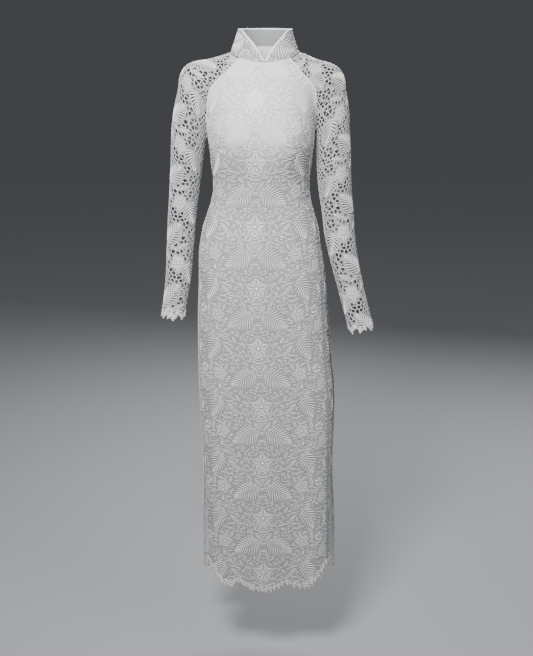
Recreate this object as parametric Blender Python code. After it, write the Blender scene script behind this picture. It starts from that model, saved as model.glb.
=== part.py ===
"""A long white lace ao dai tunic, hollow, in the pose in which it is worn.

The script builds a general standing figure as a smooth field, lays flat pattern pieces on it and gives
each piece its cloth thickness. Metres, +Z up, the wearer faces -Y. The origin is the middle of the neck
opening at the height of the collar seam. Right and left are the wearer's: the right sleeve is at -X.
"""

import math
from collections import namedtuple

import bmesh
import bpy
import numpy as np
from mathutils import Vector
from mathutils.geometry import delaunay_2d_cdt

# Cloth thicknesses and the gaps between layers and pieces
LACE = 0.0014
LINING = 0.0010
SLEEVE_LACE = 0.0016
COLLAR_WALL = 0.0024
LAYER_GAP = 0.0007
SEAM_GAP = 0.0005
LEAF_RAISE = 0.0013

# Heights along the tunic
UNDERARM = -0.172
SLIT_TOP = -0.362
LINING_ABOVE_HEM = 0.050
LINING_EDGE_INSET = 0.009

# One repeat of the lace: its size, the height of one repeat's middle, and where the lace of the two
# panels is mirrored, in x
REPEAT_WIDE = 0.168
REPEAT_TALL = 0.143
REPEAT_START = -0.050
LACE_AXIS = -0.013

# The body of the figure and of the two hanging flaps, from the neck down. centre is the middle in x,
# the halves are half widths, front and back are depths from the side edges, which lie at the two edges.
Section = namedtuple("Section", "height centre front_half back_half front back front_edge back_edge")
SECTIONS = (
    Section(0.060, 0.000, 0.054, 0.054, 0.046, 0.050, 0.000, 0.000),
    Section(0.037, 0.000, 0.059, 0.059, 0.050, 0.056, 0.000, 0.000),
    Section(0.018, 0.000, 0.064, 0.064, 0.054, 0.062, 0.000, 0.000),
    Section(0.003, 0.000, 0.076, 0.076, 0.058, 0.070, 0.000, 0.000),
    Section(-0.014, -0.001, 0.098, 0.098, 0.064, 0.080, 0.000, 0.000),
    Section(-0.045, -0.004, 0.116, 0.116, 0.077, 0.094, 0.000, 0.000),
    Section(-0.085, -0.007, 0.124, 0.124, 0.093, 0.104, 0.000, 0.000),
    Section(-0.130, -0.009, 0.1245, 0.1245, 0.105, 0.108, 0.000, 0.000),
    Section(-0.180, -0.009, 0.1225, 0.1225, 0.110, 0.106, 0.000, 0.000),
    Section(-0.212, -0.008, 0.1185, 0.1185, 0.108, 0.101, 0.000, 0.000),
    Section(-0.250, -0.009, 0.1140, 0.1140, 0.098, 0.093, 0.000, 0.000),
    Section(-0.287, -0.008, 0.1110, 0.1110, 0.088, 0.084, 0.000, 0.000),
    Section(-0.325, -0.009, 0.1170, 0.1170, 0.083, 0.081, 0.000, 0.000),
    Section(-0.362, -0.010, 0.1290, 0.1290, 0.084, 0.087, 0.000, 0.000),
    Section(-0.400, -0.011, 0.1385, 0.1385, 0.087, 0.097, -0.001, 0.001),
    Section(-0.437, -0.011, 0.1440, 0.1450, 0.089, 0.106, -0.002, 0.002),
    Section(-0.500, -0.007, 0.1490, 0.1510, 0.088, 0.113, -0.006, 0.005),
    Section(-0.587, -0.005, 0.1530, 0.1570, 0.083, 0.111, -0.012, 0.010),
    Section(-0.700, -0.001, 0.157, 0.163, 0.074, 0.102, -0.022, 0.018),
    Section(-0.780, 0.004, 0.160, 0.168, 0.066, 0.094, -0.030, 0.026),
    Section(-0.860, 0.006, 0.158, 0.168, 0.060, 0.086, -0.036, 0.034),
    Section(-1.000, 0.007, 0.153, 0.165, 0.052, 0.074, -0.044, 0.042),
    Section(-1.150, 0.009, 0.153, 0.171, 0.048, 0.066, -0.050, 0.048),
    Section(-1.345, 0.009, 0.153, 0.172, 0.046, 0.062, -0.054, 0.050),
)
SECTION_POWER = 2.25
BODY_LOW = -1.345
BODY_HIGH = 0.045
BODY_COLUMNS = 73

# The two bust cups, as smooth swellings of the front
CUP_APART = 0.066
CUP_HEIGHT = -0.186
CUP_SIZE = (0.040, 0.046)
CUP_SWELL = 0.017

# Soft hanging folds of the flaps: where each runs in x, its width and how far it stands out at the hem
Fold = namedtuple("Fold", "x width depth")
FRONT_FOLDS = (
    Fold(-0.118, 0.022, 0.005),
    Fold(-0.062, 0.026, -0.004),
    Fold(0.006, 0.034, 0.004),
    Fold(0.072, 0.026, -0.005),
    Fold(0.128, 0.020, 0.006),
)
BACK_FOLDS = (
    Fold(-0.128, 0.022, 0.008),
    Fold(-0.070, 0.028, -0.007),
    Fold(-0.008, 0.036, 0.007),
    Fold(0.062, 0.028, -0.007),
    Fold(0.126, 0.020, 0.009),
)
FOLDS_BEGIN = -0.560
FOLDS_GROW = 1.3

# The arms inside the sleeves, from the shoulder joint to below the cuff
Arm = namedtuple("Arm", "height x y radius")
RIGHT_ARM = (
    Arm(-0.052, -0.1500, 0.004, 0.0435),
    Arm(-0.100, -0.1665, 0.004, 0.0405),
    Arm(-0.160, -0.1762, 0.005, 0.0398),
    Arm(-0.228, -0.1828, 0.007, 0.0370),
    Arm(-0.298, -0.1900, 0.007, 0.0342),
    Arm(-0.369, -0.1975, 0.003, 0.0322),
    Arm(-0.440, -0.2020, -0.008, 0.0308),
    Arm(-0.513, -0.2080, -0.022, 0.0285),
    Arm(-0.587, -0.2185, -0.038, 0.0272),
    Arm(-0.660, -0.2270, -0.055, 0.0265),
)
LEFT_ARM = (
    Arm(-0.055, 0.1370, 0.004, 0.0430),
    Arm(-0.100, 0.1500, 0.004, 0.0415),
    Arm(-0.160, 0.1575, 0.005, 0.0390),
    Arm(-0.228, 0.1605, 0.007, 0.0392),
    Arm(-0.298, 0.1655, 0.006, 0.0380),
    Arm(-0.350, 0.1720, 0.003, 0.0362),
    Arm(-0.405, 0.1775, -0.004, 0.0350),
    Arm(-0.440, 0.1836, -0.010, 0.0333),
    Arm(-0.477, 0.1915, -0.017, 0.0317),
    Arm(-0.513, 0.2005, -0.024, 0.0305),
    Arm(-0.587, 0.2200, -0.040, 0.0294),
    Arm(-0.660, 0.2390, -0.056, 0.0290),
)
# Where the slope from neck to shoulder starts (x, y, z) and its radius there
SHOULDER_ROOT = (0.080, 0.004, -0.034, 0.0440)
# How round the hollows are where arm meets slope, and where they meet the body at three heights
ARM_BLEND = 0.014
BODY_BLEND_AT = (UNDERARM, -0.09, 0.0)
BODY_BLEND = (0.004, 0.022, 0.026)

# The raglan seam from the collar (share 0) to the underarm (share 1): height and angle from the centre
# front, in degrees, of its front and its back line.
Seam = namedtuple("Seam", "share front front_angle back back_angle")
RAGLAN = (
    Seam(0.00, 0.000, 50.0, 0.026, 130.0),
    Seam(0.15, -0.014, 54.0, 0.012, 127.0),
    Seam(0.30, -0.029, 58.0, -0.006, 123.0),
    Seam(0.45, -0.043, 63.0, -0.027, 120.0),
    Seam(0.60, -0.060, 68.5, -0.054, 117.0),
    Seam(0.75, -0.090, 74.0, -0.088, 112.5),
    Seam(0.88, -0.130, 80.5, -0.130, 104.0),
    Seam(1.00, UNDERARM, 90.0, UNDERARM, 90.0),
)
# The rings of the raglan sleeve's shoulder: the point that each is drawn round, and how far its crown
# direction is tilted up, in degrees.
Ring = namedtuple("Ring", "share x height tilt")
SHOULDER_RINGS = (
    Ring(0.00, 0.052, -0.014, 66.0),
    Ring(0.15, 0.072, -0.022, 74.0),
    Ring(0.30, 0.094, -0.030, 77.0),
    Ring(0.50, 0.124, -0.046, 68.0),
    Ring(0.70, 0.148, -0.068, 47.0),
    Ring(0.85, 0.162, -0.094, 27.0),
    Ring(1.00, 0.172, -0.124, 12.0),
)
SHOULDER_COLUMNS = ("x", "height", "tilt")
SHOULDER_RINGS_MADE_FOR = 0.160
LIMB_SLACK = 0.020
ARM_SETTLES_IN = 0.20
SLEEVE_COLUMNS = 49
NECK_SHARE = 0.25
NECK_RINGS = 8
SHOULDER_RINGS_MADE = 22
ARM_RINGS_MADE = 44
RING_STEP = 0.012
BELOW_CUFF = 0.03
SLEEVE_END = {"right": -0.588, "left": -0.616}

# The collar seam round the neck: angle from the centre front, in degrees, and height
CollarSeam = namedtuple("CollarSeam", "angle height")
COLLAR_SEAM = (
    CollarSeam(0.0, -0.010),
    CollarSeam(24.0, -0.007),
    CollarSeam(50.0, 0.000),
    CollarSeam(70.0, 0.008),
    CollarSeam(90.0, 0.016),
    CollarSeam(130.0, 0.026),
    CollarSeam(180.0, 0.030),
)
COLLAR_TOP = 0.057
COLLAR_TOP_BACK_RISE = 0.008
COLLAR_TOP_RADII = (0.0600, 0.0550)
COLLAR_TOP_FORWARD = 0.008
COLLAR_WAIST = 0.0010
# The V of the collar: angle from the centre front and share of the collar's height there
CollarEdge = namedtuple("CollarEdge", "angle share")
COLLAR_V = (
    CollarEdge(0.0, 0.00),
    CollarEdge(8.0, 0.20),
    CollarEdge(18.0, 0.43),
    CollarEdge(32.0, 0.66),
    CollarEdge(46.0, 0.85),
    CollarEdge(58.0, 0.98),
    CollarEdge(72.0, 1.00),
    CollarEdge(180.0, 1.00),
)
COLLAR_OPENS_AT = 2.5
COLLAR_TALL = 0.060
COLLAR_LEAST = 0.08
COLLAR_ABOVE_SEAM = 0.0012
COLLAR_BELOW_BINDING = 0.0008
BINDING_RADIUS = 0.0015

# Openings of the lace inside one repeat. A star is a round window crossed by thin arms, a lens is a
# single pointed window. Places are from the middle of the repeat.
Star = namedtuple("Star", "x y radius arms turn")
STARS = (
    Star(0.000, 0.020, 0.0145, 5, 18.0),
    Star(0.084, 0.014, 0.0155, 5, 54.0),
)
Lens = namedtuple("Lens", "x y long wide turn")
LENSES = (
    Lens(-0.013, 0.056, 0.017, 0.0075, 62.0),
    Lens(0.013, 0.056, 0.017, 0.0075, 118.0),
    Lens(-0.073, 0.050, 0.016, 0.0080, 128.0),
    Lens(0.073, 0.050, 0.016, 0.0080, 52.0),
    Lens(-0.058, -0.020, 0.018, 0.0075, 12.0),
    Lens(0.058, -0.020, 0.018, 0.0075, 168.0),
    Lens(-0.026, -0.008, 0.014, 0.0065, 150.0),
    Lens(0.026, -0.008, 0.014, 0.0065, 30.0),
)
STAR_ARM = 0.0024
# The windows in the unlined border of the hems: one of them, set above the hem's curve, and their pitch
HEM_LENS = Lens(0.000, 0.033, 0.019, 0.0090, 0.0)
HEM_LENS_PITCH = 0.032
# The large leaves of one repeat, raised on the body's lace
Leaf = namedtuple("Leaf", "x y long wide turn")
LEAVES = (
    Leaf(-0.042, 0.028, 0.060, 0.046, 205.0),
    Leaf(0.042, 0.028, 0.060, 0.046, 335.0),
)

# A leaf's outline and the crest of its middle, in shares of its length and width
LEAF_FOOT = ((0.50, 0.0), (0.20, 0.42), (-0.30, 0.38), (-0.50, 0.0), (-0.30, -0.38), (0.20, -0.42))
LEAF_CREST = ((0.24, 0.0), (-0.24, 0.0))

# How near points of one wall may come: along an outline, from a window or a leaf to the outline, and
# between a leaf's points and the grid's
LEAST_STEP = 0.003
WINDOW_MARGIN = 0.003
LEAF_MARGIN = 0.004
LEAF_APART = 0.005

# How finely the walls are divided: steps across and along the cloth in each band of levels
Band = namedtuple("Band", "bottom top across along")
BODY_GRID = (
    Band(-0.43, 0.04, 0.024, 0.028),
    Band(-1.345, -0.43, 0.036, 0.050),
)
SLEEVE_GRID = (Band(0.0, 0.8, 0.026, 0.030),)

# Scalloped lace hems: each lobe's middle, half width and drop below its neighbours, then each hem's
# lowest height and how far its corners rise
Lobe = namedtuple("Lobe", "middle half drop")
FRONT_LOBES = (
    Lobe(-0.108, 0.032, 0.022),
    Lobe(-0.018, 0.062, 0.020),
    Lobe(0.092, 0.048, 0.022),
)
BACK_LOBES = (
    Lobe(-0.120, 0.034, 0.020),
    Lobe(-0.045, 0.040, 0.018),
    Lobe(0.040, 0.044, 0.021),
    Lobe(0.122, 0.036, 0.019),
)
Hem = namedtuple("Hem", "lowest corner_rise lobes")
FRONT_HEM = Hem(-1.280, 0.052, FRONT_LOBES)
BACK_HEM = Hem(-1.336, 0.022, BACK_LOBES)
LOBE_RISE = 0.020
TEETH = 0.0045
TOOTH_PITCH = 0.0175
EDGE_SCALLOP = 0.0030
EDGE_PITCH = REPEAT_TALL / 4
CUFF_LOBE = 0.013
CUFF_LOBES = 6
SLEEVE_BELOW_SEAM = 0.0008
# The sleeve's underarm seam: its gap, how much it widens at the underarm's sharp bend, and over what length
UNDERARM_SEAM_GAP = 0.0010
UNDERARM_WIDENS = 0.0028
UNDERARM_LENGTH = 0.022

# The distances at which a ray is tested for the figure's surface: first, last and how many
SEARCH = (0.004, 0.26, 96)

WHITE_LACE = (0.80, 0.80, 0.77)
WHITE_SATIN = (0.78, 0.81, 0.84)


def smooth(at, knots, values):
    """Values at the wanted places of a smooth curve that passes through the knots."""
    order = np.argsort(knots)
    knots = np.asarray(knots, float)[order]
    values = np.asarray(values, float)[order]
    slopes = np.gradient(values, knots)
    i = np.clip(np.searchsorted(knots, at) - 1, 0, len(knots) - 2)
    step = knots[i + 1] - knots[i]
    f = np.clip((np.asarray(at, float) - knots[i]) / step, 0.0, 1.0)
    rise = values[i] * (1 + 2 * f) * (1 - f) ** 2 + values[i + 1] * f * f * (3 - 2 * f)
    return rise + step * f * (1 - f) * (slopes[i] * (1 - f) - slopes[i + 1] * f)


def column(table, name, at, key="height"):
    """A column of a table, read smoothly at the wanted values of its key column."""
    return smooth(at, [getattr(row, key) for row in table], [getattr(row, name) for row in table])


def soft_min(a, b, radius):
    """The smaller of two fields, with the crease between them rounded."""
    h = np.clip(0.5 + 0.5 * (b - a) / radius, 0.0, 1.0)
    return b * (1 - h) + a * h - radius * h * (1 - h)


def cup_swell(x, z):
    """How far the bust cups push the front out."""
    away = (np.abs(x - column(SECTIONS, "centre", z)) - CUP_APART) / CUP_SIZE[0]
    return CUP_SWELL * np.exp(-(away**2) - ((z - CUP_HEIGHT) / CUP_SIZE[1]) ** 2)


def body_field(p):
    """Below zero inside the body or between the flaps, above zero outside."""
    x, y, z = p[..., 0], p[..., 1], p[..., 2]
    in_front = y < 0
    half = np.where(in_front, column(SECTIONS, "front_half", z), column(SECTIONS, "back_half", z))
    depth = np.where(in_front, column(SECTIONS, "front", z), column(SECTIONS, "back", z))
    edge = np.where(in_front, column(SECTIONS, "front_edge", z), column(SECTIONS, "back_edge", z))
    out = np.where(in_front, -(y - edge) - cup_swell(x, z), y - edge)
    across = np.abs(x - column(SECTIONS, "centre", z)) / half
    deep = np.maximum(out, 0.0) / depth
    size = (across**SECTION_POWER + deep**SECTION_POWER) ** (1 / SECTION_POWER)
    return (size - 1.0) * np.minimum(half, depth)


def arm_field(p, arm):
    """Below zero inside an arm."""
    z = np.clip(p[..., 2], arm[-1].height, arm[0].height)
    x, y = column(arm, "x", z), column(arm, "y", z)
    away = np.sqrt((p[..., 0] - x) ** 2 + (p[..., 1] - y) ** 2 + (p[..., 2] - z) ** 2)
    return away - column(arm, "radius", z)


def root_field(p, arm):
    """Below zero inside the sloping stretch from the neck to the shoulder joint."""
    side = math.copysign(1, arm[0].x)
    start = np.array((side * SHOULDER_ROOT[0], *SHOULDER_ROOT[1:3]))
    line = np.array((arm[0].x, arm[0].y, arm[0].height)) - start
    f = np.clip(((p - start) @ line) / (line @ line), 0.0, 1.0)
    away = np.linalg.norm(p - start - f[..., None] * line, axis=-1)
    return away - (SHOULDER_ROOT[3] * (1 - f) + arm[0].radius * f)


def figure_field(p):
    """The whole figure: the body, with the shoulders and arms blended in above the underarm."""
    round_off = np.interp(p[..., 2], BODY_BLEND_AT, BODY_BLEND)
    field = body_field(p)
    for arm in (RIGHT_ARM, LEFT_ARM):
        limb = soft_min(arm_field(p, arm), root_field(p, arm), ARM_BLEND)
        field = np.where(p[..., 2] > UNDERARM, soft_min(field, limb, round_off), field)
    return field


def how_far(start, direction, field):
    """How far the first place is, outward along each ray, where the field turns positive."""
    reach = np.linspace(*SEARCH)
    start, direction = np.broadcast_arrays(start, direction)
    values = field(start[..., None, :] + direction[..., None, :] * reach[:, None])
    first = np.maximum(np.argmax(values > 0, axis=-1), 1)
    low, high = reach[first - 1], reach[first]
    for _ in range(24):
        middle = (low + high) / 2
        outside = field(start + direction * middle[..., None]) > 0
        low, high = np.where(outside, low, middle), np.where(outside, middle, high)
    return (low + high) / 2


def cast(start, direction, field):
    """The first points outward along the rays where the field turns positive."""
    return start + direction * how_far(start, direction, field)[..., None]


def fold_out(x, z, folds):
    """How far the flap's soft folds stand out."""
    grown = np.clip((FOLDS_BEGIN - z) / (FOLDS_BEGIN - FRONT_HEM.lowest), 0.0, 1.0) ** FOLDS_GROW
    return grown * sum(f.depth * np.exp(-(((x - f.x) / f.width) ** 2)) for f in folds)


def body_points(z, degrees, side):
    """Points of the front (side -1) or back (side 1) of the body. Angle 0 is its centre line."""
    z, angle = np.broadcast_arrays(np.asarray(z, float), np.radians(degrees))
    edge = column(SECTIONS, "front_edge" if side < 0 else "back_edge", z)
    start = np.stack((column(SECTIONS, "centre", z), edge + side * 1e-6, z), axis=-1)
    ray = np.stack((np.sin(angle), side * np.maximum(np.cos(angle), 1e-4), 0 * angle), axis=-1)
    points = cast(start, ray, figure_field)
    folds = FRONT_FOLDS if side < 0 else BACK_FOLDS
    points[..., 1] += side * fold_out(points[..., 0], z, folds)
    return points


def seam_points(share, which, sign):
    """Points of the raglan seam's front or back line on the side of that sign."""
    height = column(RAGLAN, which, share, "share")
    angle = column(RAGLAN, which + "_angle", share, "share")
    if which == "front":
        return body_points(height, sign * angle, -1)
    return body_points(height, sign * (180.0 - angle), 1)


class Cloth:
    """A curved cloth: rows of points at rising levels, measured across from the middle column."""

    def __init__(self, levels, rows, across=None):
        self.levels, self.rows = np.asarray(levels, float), np.asarray(rows, float)
        if across is None:
            steps = np.linalg.norm(np.diff(self.rows, axis=1), axis=2)
            along = np.concatenate((np.zeros((len(rows), 1)), np.cumsum(steps, axis=1)), axis=1)
            across = along - along[:, [along.shape[1] // 2]]
        self.across = np.broadcast_to(across, self.rows.shape[:2])
        self.turned = 1.0
        middle = np.stack((np.zeros(len(levels) - 2), self.levels[1:-1]), axis=1)
        inside = self.rows[1:-1].mean(axis=1)
        outward = ((self.at(middle) - inside) * self.normal(middle)).sum()
        self.turned = math.copysign(1.0, outward)

    def reach(self, level, end):
        """How far the cloth reaches across at a level: end 0 is its first column, -1 its last."""
        return np.interp(level, self.levels, self.across[:, end])

    def at(self, places):
        """Points in space of places (across, level) on the cloth."""
        places = np.asarray(places, float).reshape(-1, 2)
        i = np.clip(np.searchsorted(self.levels, places[:, 1]) - 1, 0, len(self.levels) - 2)
        f = (places[:, 1] - self.levels[i]) / (self.levels[i + 1] - self.levels[i])
        found = np.zeros((len(places), 3))
        for row in np.unique(i):
            here = i == row
            for k, share in ((row, 1 - f[here]), (row + 1, f[here])):
                where, row_across = places[here, 0], self.across[k]
                line = [np.interp(where, row_across, self.rows[k, :, axis]) for axis in range(3)]
                found[here] += share[:, None] * np.stack(line, axis=1)
        return found

    def normal(self, places, step=0.004):
        """Unit normals, pointing out of the garment."""
        places = np.asarray(places, float).reshape(-1, 2)
        low, high = self.levels[0], self.levels[-1]
        up = np.clip(places[:, 1] + step, low, high)
        down = np.clip(places[:, 1] - step, low, high)
        left = np.maximum(places[:, 0] - step, self.reach(places[:, 1], 0))
        right = np.minimum(places[:, 0] + step, self.reach(places[:, 1], -1))
        across = self.at(np.stack((right, places[:, 1]), 1)) - self.at(np.stack((left, places[:, 1]), 1))
        along = self.at(np.stack((places[:, 0], up), 1)) - self.at(np.stack((places[:, 0], down), 1))
        found = np.cross(across, along) * self.turned
        return found / np.maximum(np.linalg.norm(found, axis=1), 1e-12)[:, None]

    def lifted(self, places, height):
        """Points in space, moved out along the normals by a height, or by one height each."""
        return self.at(places) + self.normal(places) * np.reshape(height, (-1, 1))


def body_cloth(side):
    """The front or back cloth, with heights as its levels."""
    levels = np.concatenate((np.arange(BODY_LOW, UNDERARM, 0.0175), np.arange(UNDERARM, BODY_HIGH, 0.007)))
    angles = np.linspace(-90.0, 90.0, BODY_COLUMNS)
    return Cloth(levels, body_points(levels[:, None], angles[None, :], side))


def sleeve_ring(centre, crown, side, front, back, field, limb):
    """One ring of a sleeve: from its front end over the crown to its back end, round a centre.

    Where a ray would run on into the body, the ring keeps close to the limb.
    """
    rearward = np.array((0.0, 1.0, 0.0))
    along = side * np.cross(rearward, crown)
    turns, leans = [], []
    for end, sign in ((front, -1.0), (back, 1.0)):
        local = np.array([(end - centre) @ axis for axis in (crown, rearward, along)])
        turn = math.atan2(local[1], local[0])
        turns.append(turn if turn * sign > -math.pi / 2 else turn + sign * 2 * math.pi)
        leans.append(math.atan2(local[2], math.hypot(local[0], local[1])))
    half = SLEEVE_COLUMNS // 2 + 1
    turn = np.concatenate((np.linspace(turns[0], 0, half)[:-1], np.linspace(0, turns[1], half)))
    share = (1 - np.cos(turn)) / np.where(turn < 0, 1 - math.cos(turns[0]), 1 - math.cos(turns[1]))
    lean = np.where(turn < 0, leans[0], leans[1]) * share
    flat = np.cos(turn)[:, None] * crown + np.sin(turn)[:, None] * rearward
    ray = np.cos(lean)[:, None] * flat + np.sin(lean)[:, None] * along
    near = how_far(centre, ray, limb)
    room = [np.linalg.norm(end - centre) - near[k] for end, k in ((front, 0), (back, -1))]
    most = near + LIMB_SLACK * (1 - share) + np.where(turn < 0, room[0], room[1]) * share
    points = centre + ray * np.minimum(how_far(centre, ray, field), most)[:, None]
    points[0], points[-1] = front, back
    return points


def sleeve_cloth(side, arm, end):
    """A sleeve from the collar to the cuff. side is -1 for the right one, and the levels are lengths."""

    def limb(p):
        return soft_min(arm_field(p, arm), root_field(p, arm), ARM_BLEND)

    def shoulder_place(share):
        x, height, tilt = [float(column(SHOULDER_RINGS, name, share, "share")) for name in SHOULDER_COLUMNS]
        centre = np.array((side * x * abs(arm[0].x) / SHOULDER_RINGS_MADE_FOR, arm[0].y, height))
        seam = [seam_points(share, which, side) for which in ("front", "back")]
        return centre, tilt, seam

    rings = []
    for share in np.linspace(NECK_SHARE, 1.0, SHOULDER_RINGS_MADE):
        centre, tilt, seam = shoulder_place(share)
        crown = np.array((side * math.cos(math.radians(tilt)), 0.0, math.sin(math.radians(tilt))))
        rings.append(sleeve_ring(centre, crown, side, *seam, figure_field, limb))
    lead = rings[0]
    neck = ring_points(side * np.linspace(RAGLAN[0].front_angle, RAGLAN[0].back_angle, SLEEVE_COLUMNS))
    for way in np.linspace(1.0, 0.0, NECK_RINGS)[1:]:
        start, _, seam = shoulder_place(way * NECK_SHARE)
        ray = neck * (1 - way) + lead * way - start
        between = cast(start, ray / np.linalg.norm(ray, axis=1)[:, None], figure_field)
        between[0], between[-1] = seam
        rings.insert(0, between)
    top, first_tilt = shoulder_place(1.0)[0][2], math.radians(SHOULDER_RINGS[-1].tilt)
    first_drop = UNDERARM - top
    for height in np.linspace(top - RING_STEP, end - BELOW_CUFF, ARM_RINGS_MADE):
        settled = min(1.0, (top - height) / ARM_SETTLES_IN)
        places = []
        for level in (height, height - RING_STEP, height + first_drop * (1 - settled)):
            places.append(np.array((column(arm, "x", level), column(arm, "y", level), level), float))
        centre, below, under = places
        slope = (below - centre) / np.linalg.norm(below - centre)
        tilt = first_tilt * (1 - settled) + settled * math.asin(side * slope[0])
        crown = np.array((side * math.cos(tilt), 0.0, math.sin(tilt)))
        inner = cast(under, np.array((-side, 0.0, 0.0)), limb)
        rings.append(sleeve_ring(centre, crown, side, inner, inner, limb, limb))
    rings = np.array(rings)
    middle = rings[:, SLEEVE_COLUMNS // 2]
    levels = np.concatenate(([0.0], np.cumsum(np.linalg.norm(np.diff(middle, axis=0), axis=1))))
    return Cloth(levels, rings)


def ring_points(degrees):
    """Points of the collar seam at angles from the centre front, to the left round to the back."""
    degrees = np.asarray(degrees, float)
    height = column(COLLAR_SEAM, "height", np.abs(degrees), "angle")
    front = body_points(height, np.clip(degrees, -90, 90), -1)
    behind = body_points(height, np.sign(degrees) * (180 - np.clip(np.abs(degrees), 90, 180)), 1)
    return np.where((np.abs(degrees) <= 90)[..., None], front, behind)


def collar_cloth():
    """The collar band, standing on the collar seam. Its middle column is the centre back."""
    angles = np.linspace(COLLAR_OPENS_AT, 360 - COLLAR_OPENS_AT, 97)
    signed = np.where(angles > 180, angles - 360, angles)
    base = ring_points(signed)
    turn = np.radians(angles)
    lift = COLLAR_TOP + COLLAR_TOP_BACK_RISE * (1 - np.cos(turn)) / 2
    top = np.stack((COLLAR_TOP_RADII[0] * np.sin(turn), -COLLAR_TOP_RADII[1] * np.cos(turn), lift), 1)
    top[:, 1] -= COLLAR_TOP_FORWARD
    shares = np.linspace(0.0, 1.0, 9)
    rows = []
    for share in shares:
        row = base * (1 - share) + top * share
        inward = np.stack((np.sin(turn), -np.cos(turn), 0 * turn), 1)
        rows.append(row - inward * COLLAR_WAIST * 4 * share * (1 - share))
    return Cloth(shares * COLLAR_TALL, rows, turn * COLLAR_TOP_RADII[0]), angles


def inside(points, loop):
    """Whether each point lies inside a closed loop."""
    x, y = points[:, 0], points[:, 1]
    found = np.zeros(len(points), bool)
    for (x0, y0), (x1, y1) in zip(loop, np.roll(loop, -1, axis=0)):
        if y0 == y1:
            continue
        crosses = ((y0 > y) != (y1 > y)) & (x < x0 + (y - y0) * (x1 - x0) / (y1 - y0))
        found ^= crosses
    return found


def clearance(points, loop):
    """How far each point is from a closed loop."""
    a, b = loop, np.roll(loop, -1, axis=0)
    line = b - a
    f = ((points[:, None] - a) * line).sum(2) / np.maximum((line * line).sum(1), 1e-15)
    near = a + np.clip(f, 0, 1)[..., None] * line
    return np.linalg.norm(points[:, None] - near, axis=2).min(1)


def placed(shape, x, y, turn):
    """A shape turned by degrees and moved."""
    c, s = math.cos(math.radians(turn)), math.sin(math.radians(turn))
    return np.asarray(shape) @ np.array(((c, s), (-s, c))) + (x, y)


def lens_loop(lens):
    """A pointed window with six corners."""
    half, wide = lens.long / 2, lens.wide / 2
    upper = [(half, 0), (half * 0.45, wide), (-half * 0.45, wide)]
    lower = [(-x, -y) for x, y in upper]
    return placed(upper + lower, lens.x, lens.y, lens.turn)


def star_loops(star):
    """The windows between the arms of a star."""
    loops = []
    for k in range(star.arms):
        turn = star.turn + 360.0 * (k + 0.5) / star.arms
        half = math.pi / star.arms
        tip = STAR_ARM * 0.5 / math.sin(half) + 0.0008
        spread = half - STAR_ARM * 0.5 / star.radius
        shape = [(tip, 0.0)]
        for a in (-spread, -spread * 0.45, spread * 0.45, spread):
            shape.append((star.radius * math.cos(a), star.radius * math.sin(a)))
        loops.append(placed(shape, star.x, star.y, turn))
    return loops


def panel_axis(level):
    """Where the lace of the panels is mirrored, measured across from a panel's middle column."""
    return float(LACE_AXIS - column(SECTIONS, "centre", level))


def repeats(low, high, on_panel):
    """The middles of the repeats that cover a stretch of cloth, from its corners."""
    columns = range(math.floor(low[0] / REPEAT_WIDE - 0.5), math.ceil(high[0] / REPEAT_WIDE + 0.5) + 1)
    rows = range(
        math.floor((low[1] - REPEAT_START) / REPEAT_TALL - 0.5),
        math.ceil((high[1] - REPEAT_START) / REPEAT_TALL + 0.5) + 1,
    )
    middles = []
    for row in rows:
        level = REPEAT_START + row * REPEAT_TALL
        axis = panel_axis(level) if on_panel else 0.0
        middles += [np.array((axis + c * REPEAT_WIDE, level)) for c in columns]
    return middles


def windows_in(outline, margin):
    """The lace windows that lie wholly inside an outline, clear of it by a margin."""
    found = []
    shapes = [loop for star in STARS for loop in star_loops(star)] + [lens_loop(lens) for lens in LENSES]
    for middle in repeats(outline.min(0), outline.max(0), on_panel=False):
        for shape in shapes:
            loop = shape + middle
            if inside(loop, outline).all() and clearance(loop, outline).min() > margin:
                found.append(loop)
    return found


def hem_windows(outline, hem):
    """The windows in a hem's border, one after the other along its curve."""
    found = []
    reach = np.abs(outline[:, 0]).max()
    for x in np.arange(-reach, reach, HEM_LENS_PITCH) + HEM_LENS_PITCH / 2:
        ends = hem_curve(np.array((x - HEM_LENS.long / 2, x + HEM_LENS.long / 2)), reach, hem)
        turn = math.degrees(math.atan((ends[1] - ends[0]) / HEM_LENS.long))
        loop = placed(lens_loop(HEM_LENS._replace(y=0.0)), x, hem_curve(x, reach, hem) + HEM_LENS.y, turn)
        if inside(loop, outline).all() and clearance(loop, outline).min() > WINDOW_MARGIN:
            found.append(loop)
    return found


def grid_inside(loops, bands, margin):
    """Grid points inside the first loop and clear of every loop by a margin.

    The grid is centred on the middle of the cloth. Each band of levels has its own steps.
    """
    low, high = loops[0].min(0), loops[0].max(0)
    points = []
    for band in bands:
        bottom, top = max(low[1], band.bottom), min(high[1], band.top)
        count = math.ceil(max(-low[0], high[0]) / band.across)
        xs = band.across * np.arange(-count, count + 1)
        ys = np.arange(top - band.along / 2, bottom, -band.along)
        points += [(x, y) for y in ys for x in xs]
    points = np.array(points)
    keep = inside(points, loops[0]) & (clearance(points, loops[0]) > margin)
    for loop in loops[1:]:
        keep &= clearance(points, loop) > margin * 0.5
    for loop in loops[1:]:
        keep &= ~inside(points, loop)
    return points[keep]


def triangles(loops, extra):
    """Triangles over the loops' points and the extra points, with the loops' edges kept."""
    whole = np.concatenate([*loops, extra])
    edges, start = [], 0
    for loop in loops:
        edges += [(start + i, start + (i + 1) % len(loop)) for i in range(len(loop))]
        start += len(loop)
    found, _, faces, came_from, _, _ = delaunay_2d_cdt([Vector(p) for p in whole], edges, [], 0, 1e-7)
    crossings = [tuple(round(v, 4) for v in p) for p, source in zip(found, came_from) if not source]
    if crossings:
        raise RuntimeError(f"outlines cross at {crossings[:8]}")
    return np.array([[came_from[i][0] for i in face] for face in faces])


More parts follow.
